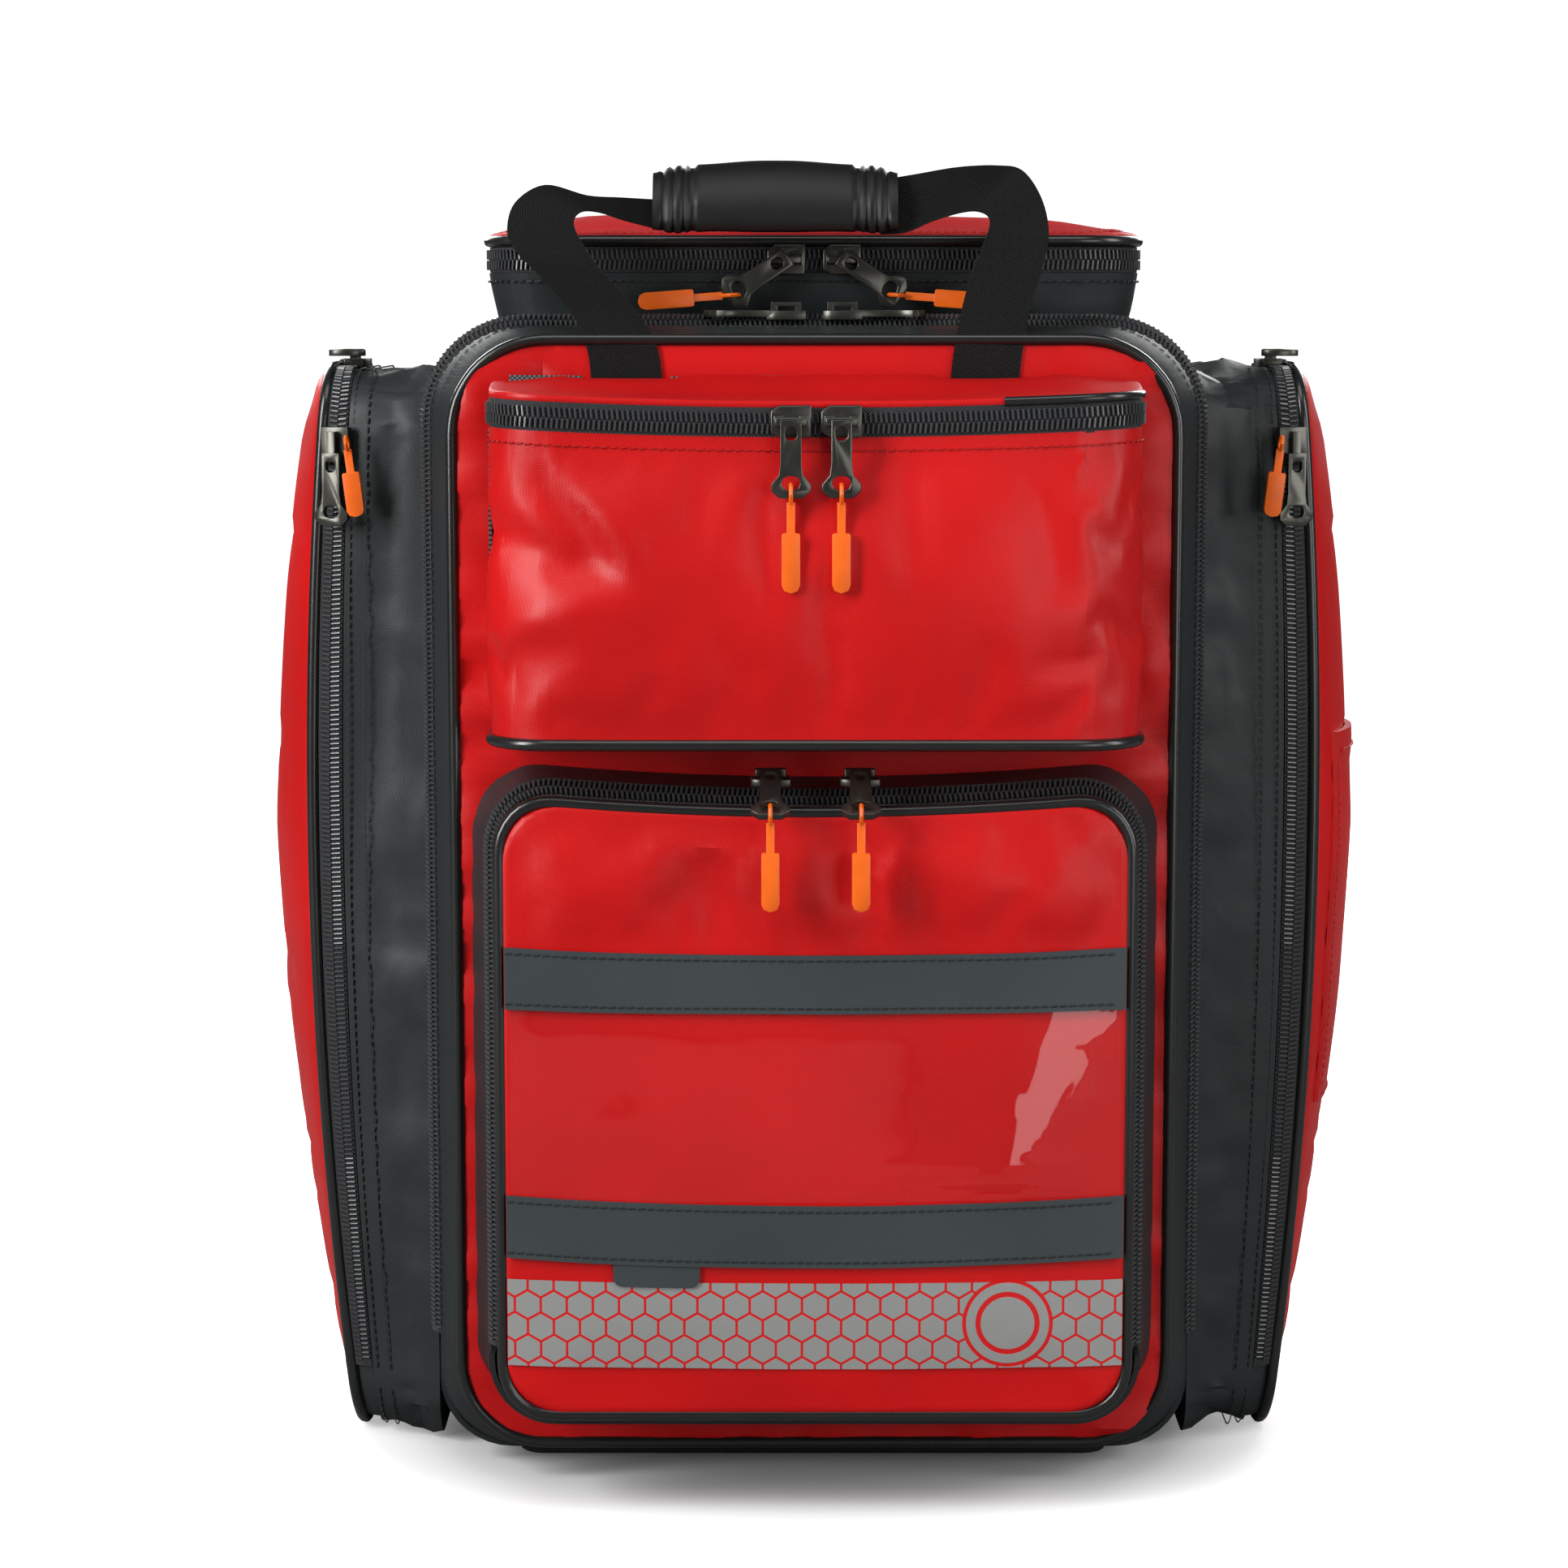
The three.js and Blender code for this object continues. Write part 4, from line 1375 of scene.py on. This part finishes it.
class BACKPACK_OT_top_pocket(BackpackOperator, bpy.types.Operator):
    """Makes the top pocket with its zip, lid and piping"""

    bl_idname = "backpack.top_pocket"
    bl_label = "Top pocket"

    def build(self):
        bm = block(TOP, TOP_LOW, TOP_HIGH)
        drop(bm, lambda c, n: n.z > 0.9)
        slices(bm, 7)

        def draw_in(p):
            t = 1 - (p.z - TOP_LOW) / (TOP_HIGH - TOP_LOW)
            p.x *= 1 - 0.03 * t
            p.y += 4 * t * smoothstep(p.y, 40, -10)

        shape(bm, draw_in)

        def drape(p):
            t = (p.z - TOP_LOW) / (TOP_HIGH - TOP_LOW)
            held = math.sin(math.pi * min(1, max(0, t))) if p.z > TOP_LOW + 0.5 else 0
            return (1.2 * ripple(p, 34, 5.0) + 0.5 * crumple(p, 30, 2.0)) * held

        along_normals(bm, drape)
        thicken(bm)
        finish_piece("top_pocket_cloth", bm, "charcoal_cloth", "pack_body", "top_pocket_walls")
        run = Track(part_of(outline(TOP), lambda p: p.y < 96))
        closed = Track(outline(TOP), closed=True)
        zip_band("top_zip", run, TOP_ZIP, "pack_body", AS_PLAN, "top_zip", out=0.2)
        backing("top_zip_backing", closed, TOP_HIGH + 0.2, TOP_RIM, -2.8)
        stitches("top_stitches", closed, 561, 0.3, "pack_body", AS_PLAN)

        bm = block(TOP, TOP_RIM + 0.3, TOP_RIM + 6)
        soften(bm, 2.5, lambda p: True, 2)
        slices(bm, 9, "xy")

        def dome(p):
            edge = from_edge(TOP, p)
            if p.z > TOP_RIM + 3:
                p.z += 7.5 * smoothstep(edge, -4, 55) + 3 * smoothstep(p.y, -12, 110)
                p.z += 1.6 * ripple(p, 55, 6.0) * smoothstep(edge, 0, 18)

        shape(bm, dome)
        finish_piece("top_lid_cloth", bm, "red_cloth", "top_lid", "top_lid")
        inner = dict(x0=-147, x1=147, y0=-5, y1=111, low=24, high=24)
        edge = Track(outline(inner), closed=True)
        stitches("top_lid_stitches", edge, TOP_RIM + 6.2, 0, "top_lid", AS_PLAN, "red_thread", (dome,))
        piping("top_lid_piping", closed, TOP_RIM + 2.8, "top_lid", AS_PLAN, out=-0.2, radius=2.6)


class BACKPACK_OT_side_pockets(BackpackOperator, bpy.types.Operator):
    """Makes both side pockets: charcoal bands, zips, crowned red covers and a patch pocket"""

    bl_idname = "backpack.side_pockets"
    bl_label = "Side pockets"

    def build(self):
        cover_spec = dict(SIDE, x0=SIDE["x0"] + SIDE_SLANT)
        for hand, sign in HANDS:
            mirror = sign < 0
            rules = (side_place,)
            bm = block(SIDE, SIDE_IN, SIDE_ZIP_IN - 0.4)
            drop(bm, lambda c, n: n.z > 0.9)
            slices(bm, 8)

            def drape(p, seed=3.0 + sign):
                t = (p.z - SIDE_IN) / (SIDE_ZIP_IN - SIDE_IN)
                held = math.sin(math.pi * min(1, max(0, t * 0.92)))
                waves = 6.5 * ripple(p, 46, seed, (1, 0.26, 1))
                waves += 3.2 * crumple(p, 40, seed + 4, (0.7, 0.2, 1))
                return (waves - 4.2) * held

            along_normals(bm, drape)
            outwards(bm)
            settle(bm, lambda p: smoothstep(p.z, 181, 190) * smoothstep(p.z, 213, 204), -0.5, 0.02, 6)
            thicken(bm)
            finish_piece(
                f"side_band_{hand}", bm, "charcoal_cloth", "pack_body", f"side_pocket_walls_{hand}",
                AS_SIDE, mirror, rules,
            )
            run = Track(part_of(outline(SIDE), lambda p: p.y > 34 and p.x < 100))
            zip_band(
                f"side_zip_{hand}", run, (SIDE_ZIP_IN + SIDE_ZIP_OUT) / 2, "pack_body", AS_SIDE,
                f"side_zip_{hand}", rules, mirror, out=0.2,
            )
            closed = Track(outline(SIDE), closed=True)
            name = f"side_zip_backing_{hand}"
            backing(name, closed, SIDE_ZIP_IN, SIDE_ZIP_OUT - 0.2, -2.9, AS_SIDE, rules, mirror)
            for row, depth in (("inner", SIDE_ZIP_IN - 11), ("outer", SIDE_ZIP_IN - 3)):
                stitches(
                    f"side_stitches_{row}_{hand}", closed, depth, 0.0, "pack_body", AS_SIDE,
                    rules=rules, mirror=mirror,
                )
            self.cover(hand, mirror, cover_spec)
        self.patch()

    def cover(self, hand, mirror, spec):
        bm = block(spec, SIDE_ZIP_OUT + 0.4, SIDE_ZIP_OUT + 4.4)
        drop(bm, lambda c, n: n.z < -0.9)
        soften(bm, 3, lambda p: p.z > SIDE_ZIP_OUT + 4, 2)
        slices(bm, 9, "xy")

        def swell(p):
            share = smoothstep(p.x - SIDE_ZIP_OUT, 0.5, 4)
            p.x += share * cover_height(p) + bow(p.z)

        orient(bm, AS_SIDE)
        shape(bm, swell)
        outwards(bm)

        def loose(p):
            return smoothstep(min(p.y - 10, 108 - p.y, p.z - 14, 508 - p.z), 0, 16)

        settle(bm, loose, 0.6, 0.004, 3)
        thicken(bm)
        finish_piece(
            f"side_cover_cloth_{hand}", bm, "red_cloth", f"side_flap_{hand}", f"side_cover_{hand}",
            mirror=mirror,
        )
        closed = Track(outline(spec), closed=True)
        bowed = (lambda p: setattr(p, "x", p.x + bow(p.z)),)
        piping(
            f"side_piping_{hand}", closed, SIDE_ZIP_OUT + 2.8, f"side_flap_{hand}", AS_SIDE, bowed, out=0.2,
            mirror=mirror, radius=3.0,
        )

    @staticmethod
    def patch():
        low, high = 164, 346
        bm = slab((90, high - low, 2), (60, (low + high) / 2, SIDE_ZIP_OUT + 6))
        slices(bm, 6, "xy")
        orient(bm, AS_SIDE)

        def lay(p):
            hem = 1.2 * smoothstep(p.z, high - 14, high - 10) if p.x > SIDE_ZIP_OUT + 6 else 0
            p.x += cover_height(p) + bow(p.z) + hem - 0.6

        shape(bm, lay)
        finish_piece("patch_pocket_cloth", bm, "red_cloth", "side_flap_right", "patch_pocket")
        inner = dict(x0=18.5, x1=101.5, y0=low + 3, y1=high - 9, low=0, high=0)
        edge = Track(outline(inner), closed=True)
        depth = SIDE_ZIP_OUT + 7.3
        stitches("patch_stitches", edge, depth, 0, "side_flap_right", AS_SIDE, "red_thread", (lay,))


class BACKPACK_OT_handle(BackpackOperator, bpy.types.Operator):
    """Makes the carry handle: a loop of folded webbing with a moulded grip"""

    bl_idname = "backpack.handle"
    bl_label = "Carry handle"

    # Outer and inner edges of the two ends of the webbing: across and height
    OUTER = {
        "left": (
            (-101, 512), (-103, 530), (-110, 546), (-124, 562), (-136, 574), (-141, 584),
            (-138, 597), (-124, 605), (-104, 600), (-88, 599), (-70, 598),
        ),
        "right": (
            (92, 512), (94, 530), (98, 550), (104, 568), (107, 584), (104, 600),
            (96, 612), (84, 614), (66, 613), (48, 610), (30, 607),
        ),
    }
    INNER = {
        "left": (
            (-69, 512), (-71, 530), (-79, 545), (-90, 558), (-99, 568), (-106, 578),
            (-110, 587), (-107, 592), (-99, 592), (-86, 588), (-70, 584),
        ),
        "right": (
            (61, 512), (63, 530), (67, 550), (72, 566), (77, 578), (80, 588),
            (76, 592), (68, 592), (54, 588), (42, 583), (30, 582),
        ),
    }

    def build(self):
        bm = bmesh.new()
        for hand, _ in HANDS:
            self.ribbon(bm, self.OUTER[hand], self.INNER[hand])
        orient(bm, AS_FRONT)
        outwards(bm)
        rules = (self.lean,)
        finish_piece("handle_web", bm, "webbing", "carry_handle", "handle_webbing", rules=rules)

        bm = bmesh.new()
        bmesh.ops.create_cone(bm, cap_ends=True, segments=20, radius1=1, radius2=1, depth=112)
        rotate(bm, math.pi / 2, "Y")
        stretch(bm, (1, 8.5, 15.5))
        slices(bm, 1.6, "x")

        def mould(p):
            end = 56 - abs(p.x)
            groove = 1.0 if 4 < end < 20 and (end - 4) % 4.4 < 2.0 else 0.0
            thin = 1 - 0.16 * smoothstep(end, 10, 0)
            belly = 1 + 0.06 * smoothstep(end, 24, 50)
            around = 1 if p.z > 1 or p.y < 0 else 0.4
            p.y *= thin * belly * (1 - 0.14 * groove * around)
            p.z *= thin * belly * (1 - 0.10 * groove * around)

        shape(bm, mould)
        move(bm, (GRIP_MIDDLE, -HANDLE_DEPTH, 597))
        shape(bm, lambda p: setattr(p, "z", p.z + 2.5 * (1 - ((p.x - GRIP_MIDDLE) / 58) ** 2)))
        finish_piece(
            "handle_grip_rubber", bm, "grip_rubber", "carry_handle",
            "handle_grip", rules=rules,
        )

    @staticmethod
    def lean(p):
        p.y += 0.45 * max(0.0, p.z - 536)

    @staticmethod
    def ribbon(bm, outer, inner):
        """A run of webbing between two edges in the front view. Its outer edge leans back where it rounds the
        corner.
        """
        outer, inner = smooth_line(outer), smooth_line(inner)
        last = len(outer) - 1
        tape = bmesh.new()
        bmesh.ops.create_grid(tape, x_segments=last, y_segments=8, size=0.5)
        layer = tape.loops.layers.uv.new("run")
        lengths = [0.0]
        for a, b, c, d in zip(outer, outer[1:], inner, inner[1:]):
            lengths.append(lengths[-1] + ((b + d) / 2 - (a + c) / 2).length)
        for face in tape.faces:
            for loop in face.loops:
                at, across = loop.vert.co.x + 0.5, loop.vert.co.y
                loop[layer].uv = (lengths[round(at * last)] * MM, across * 0.031)
        for vert in tape.verts:
            at, across = round((vert.co.x + 0.5) * last), vert.co.y + 0.5
            point = outer[at].lerp(inner[at], across)
            turn = math.exp(-(((at / last) - 0.6) / 0.14) ** 2)
            flat = smoothstep(at / last, 0.8, 1)
            twist = 1.2 * math.sin(5 * at / last) * (across - 0.5)
            depth = HANDLE_DEPTH - turn * 13 * (1 - across) - flat * 3 + twist
            vert.co = (point.x, point.y, depth)
        bmesh.ops.solidify(tape, geom=tape.faces[:], thickness=1.7)
        join(bm, tape)


class BACKPACK_OT_harness(BackpackOperator, bpy.types.Operator):
    """Makes the back pad, the shoulder straps and their webbing"""

    bl_idname = "backpack.harness"
    bl_label = "Back pad and straps"

    def build(self):
        pad = dict(x0=-138, x1=138, y0=132, y1=468, low=30, high=30)
        bm = block(pad, -136, -124.6)
        soften(bm, 5, lambda p: p.z < -130, 3)
        slices(bm, 8, "xy")

        def quilted(p):
            """1 over the padding, 0 in the sewn channels."""
            return 1 - min(1, math.exp(-(((abs(p.x) - 30) / 6) ** 2)) + math.exp(-(((p.y - 300) / 6) ** 2)))

        def quilt(p):
            if p.z < -126:
                edge = min(138 - abs(p.x), p.y - 132, 468 - p.y)
                p.z -= 3.0 * smoothstep(edge, 0, 30) - 6 * (1 - quilted(p)) * smoothstep(edge, 4, 16)

        shape(bm, quilt)
        outwards(bm)
        settle(bm, lambda p: smoothstep(p.z, -126, -131) * quilted(p), 4, 0.01, 4)
        back = finish_piece(
            "back_pad_mesh", bm, "air_mesh", "pack_body", "back_pad", AS_FRONT
        )
        edge = Track(outline(pad), closed=True)
        piping("back_pad_piping", edge, -126.5, "pack_body", AS_FRONT, out=0.8)
        line = [(131.5, 508), (139, 494), (156, 465), (165, 420), (168, 350), (163, 275), (150, 205)]
        web = [(147, 184), (146.5, 160), (143, 128), (134, 90), (126.2, 62)]
        for hand, sign in HANDS:
            self.strap(
                f"shoulder_strap_pad_{hand}", line, sign * STRAP_ACROSS,
                STRAP_WIDTH, 11, "air_mesh", f"shoulder_strap_{hand}",
            )
            self.strap(
                f"lower_web_{hand}", web, sign * STRAP_ACROSS,
                WEB_WIDTH, 2.2, "webbing", f"strap_webbing_{hand}",
            )
            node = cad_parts[f"ladder_lock_{hand}"]
            rounded_copy(f"ladder_lock_moulded_{hand}", node, 0.6, "grip_rubber", "pack_body")

    @staticmethod
    def strap(name, line, x, width, thickness, key, node):
        track = Track([Vector((-y, z)) for y, z in reversed(smooth_line(line))])
        bm = strip(track.length, x - width / 2, x + width / 2, -thickness / 2, thickness / 2, 6, 7)
        if thickness > 5:
            soften(bm, thickness * 0.42, lambda p: True, 3)
            bm.loops.layers.uv.remove(bm.loops.layers.uv["run"])
            shape(bm, lambda p: setattr(p, "z", p.z * (1 - 0.3 * (abs(p.y - x) / (width / 2)) ** 4)))
        track.bend(bm)
        turn = Matrix(((0, 0, 1, 0), (-1, 0, 0, 0), (0, 1, 0, 0), (0, 0, 0, 1)))
        if thickness > 5:
            outwards(bm)
            settle(bm, lambda p: smoothstep(width / 2 - abs(p.z - x), 4, 9), 4, 0.004, 2.5)
            for side in (-1, 1):
                piping(
                    f"{name}_edge_{side}", track, x + side * (width / 2 - 1),
                    "pack_body", turn, radius=2.4,
                )
        made = finish_piece(name, bm, key, "pack_body", node, turn)


def smooth_line(points, parts=6):
    """A smooth line through a few points."""
    vectors = [Vector(p) for p in points]
    line = []
    for i in range(len(vectors) - 1):
        p0, p1 = vectors[max(i - 1, 0)], vectors[i]
        p2, p3 = vectors[i + 1], vectors[min(i + 2, len(vectors) - 1)]
        for j in range(parts):
            t = j / parts
            square = (2 * p0 - 5 * p1 + 4 * p2 - p3) * t**2
            cube = (3 * p1 - p0 - 3 * p2 + p3) * t**3
            line.append(0.5 * (2 * p1 + (p2 - p0) * t + square + cube))
    line.append(vectors[-1])
    return line


def hard_mesh(node):
    """The mesh of a CAD node, in millimetres."""
    bm = bmesh.new()
    bm.from_mesh(node.data)
    bmesh.ops.remove_doubles(bm, verts=bm.verts, dist=1e-6)
    stretch(bm, (1 / MM,) * 3)
    return bm


def rounded_copy(name, node, radius, key, body, shift=(0, 0, 0), sharp=35):
    """A copy of a hard CAD node with its edges rounded, in its place."""
    bm = hard_mesh(node)
    bmesh.ops.dissolve_limit(bm, angle_limit=math.radians(2), verts=bm.verts, edges=bm.edges)
    soften(bm, radius, lambda p: True, 2)
    move(bm, shift)
    return finish_piece(name, bm, key, body, node.name, sharp=sharp)


class BACKPACK_OT_hardware(BackpackOperator, bpy.types.Operator):
    """Makes the zip sliders, their tabs and the cord pulls"""

    bl_idname = "backpack.hardware"
    bl_label = "Sliders and pulls"

    PLACES = ("upper", "lower", "top")
    SHIFTS = {"upper": (0, 0, -3), "lower": (0, 0, -4), "main": (0, 0, 2.2)}

    def build(self):
        for hand, sign in HANDS:
            self.side_pull(hand, sign)
            for place in (*self.PLACES, "main", "side_front", "side_top"):
                self.copy(place, hand, "slider", f"{place}_slider_{hand}", 0.7)
            for place in self.PLACES:
                for kind, radius in (("tab", 0.55), ("pull", 0.5)):
                    self.copy(place, hand, kind, f"{place}_{hand}_{kind}", radius)

    def copy(self, place, hand, kind, node, radius):
        """Sliders and tabs are plated, pulls are moulded."""
        finished, key, slot = "plated", "slider_metal", "slider_metal"
        if kind == "pull":
            finished, key, slot = "moulded", "cord_plastic", "pull_plastic"
        name, body = f"{place}_{kind}_{finished}_{hand}", f"{place}_{kind}_{hand}"
        rounded_copy(name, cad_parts[node], radius, key, body, self.SHIFTS.get(place, (0, 0, 0)))

    @staticmethod
    def side_pull(hand, sign):
        """A cord pull on the front slider of a side zip, in the shape of the others."""
        bm = hard_mesh(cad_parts["upper_left_pull"])
        xs, ys, zs = zip(*(v.co for v in bm.verts))
        here = Vector(((min(xs) + max(xs)) / 2, (min(ys) + max(ys)) / 2, max(zs)))
        move(bm, -here)
        stretch(bm, (1, 1, 0.8))
        rotate(bm, sign * 0.12, "Y")
        move(bm, (sign * 219, -20, 490))
        bmesh.ops.dissolve_limit(bm, angle_limit=math.radians(2), verts=bm.verts, edges=bm.edges)
        soften(bm, 0.5, lambda p: True, 2)
        finish_piece(
            f"side_pull_moulded_{hand}", bm, "cord_plastic",
            f"side_front_slider_{hand}",
        )


CLASSES = (
    BACKPACK_OT_stage,
    BACKPACK_OT_main_body,
    BACKPACK_OT_front,
    BACKPACK_OT_upper_pocket,
    BACKPACK_OT_lower_pocket,
    BACKPACK_OT_top_pocket,
    BACKPACK_OT_side_pockets,
    BACKPACK_OT_handle,
    BACKPACK_OT_harness,
    BACKPACK_OT_hardware,
)


class BACKPACK_PT_panel(bpy.types.Panel):
    """Lists what builds the backpack"""

    bl_idname = "BACKPACK_PT_panel"
    bl_label = "Trauma backpack"
    bl_space_type = "VIEW_3D"
    bl_region_type = "UI"
    bl_category = "Backpack"

    def draw(self, context):
        for cls in CLASSES:
            self.layout.operator(cls.bl_idname)
        for group in (context.scene.backpack_sizes, context.scene.backpack_colours):
            for key in group.__annotations__:
                self.layout.prop(group, key)


def register():
    for cls in (BackpackSizes, BackpackColours, *CLASSES, BACKPACK_PT_panel):
        bpy.utils.register_class(cls)
    bpy.types.Scene.backpack_sizes = PointerProperty(type=BackpackSizes)
    bpy.types.Scene.backpack_colours = PointerProperty(type=BackpackColours)


def unregister():
    del bpy.types.Scene.backpack_colours
    del bpy.types.Scene.backpack_sizes
    for cls in reversed((BackpackSizes, BackpackColours, *CLASSES, BACKPACK_PT_panel)):
        bpy.utils.unregister_class(cls)


def main():
    register()
    for cls in CLASSES:
        name = cls.bl_idname.split(".")[1]
        getattr(bpy.ops.backpack, name)()


if __name__ == "__main__":
    main()
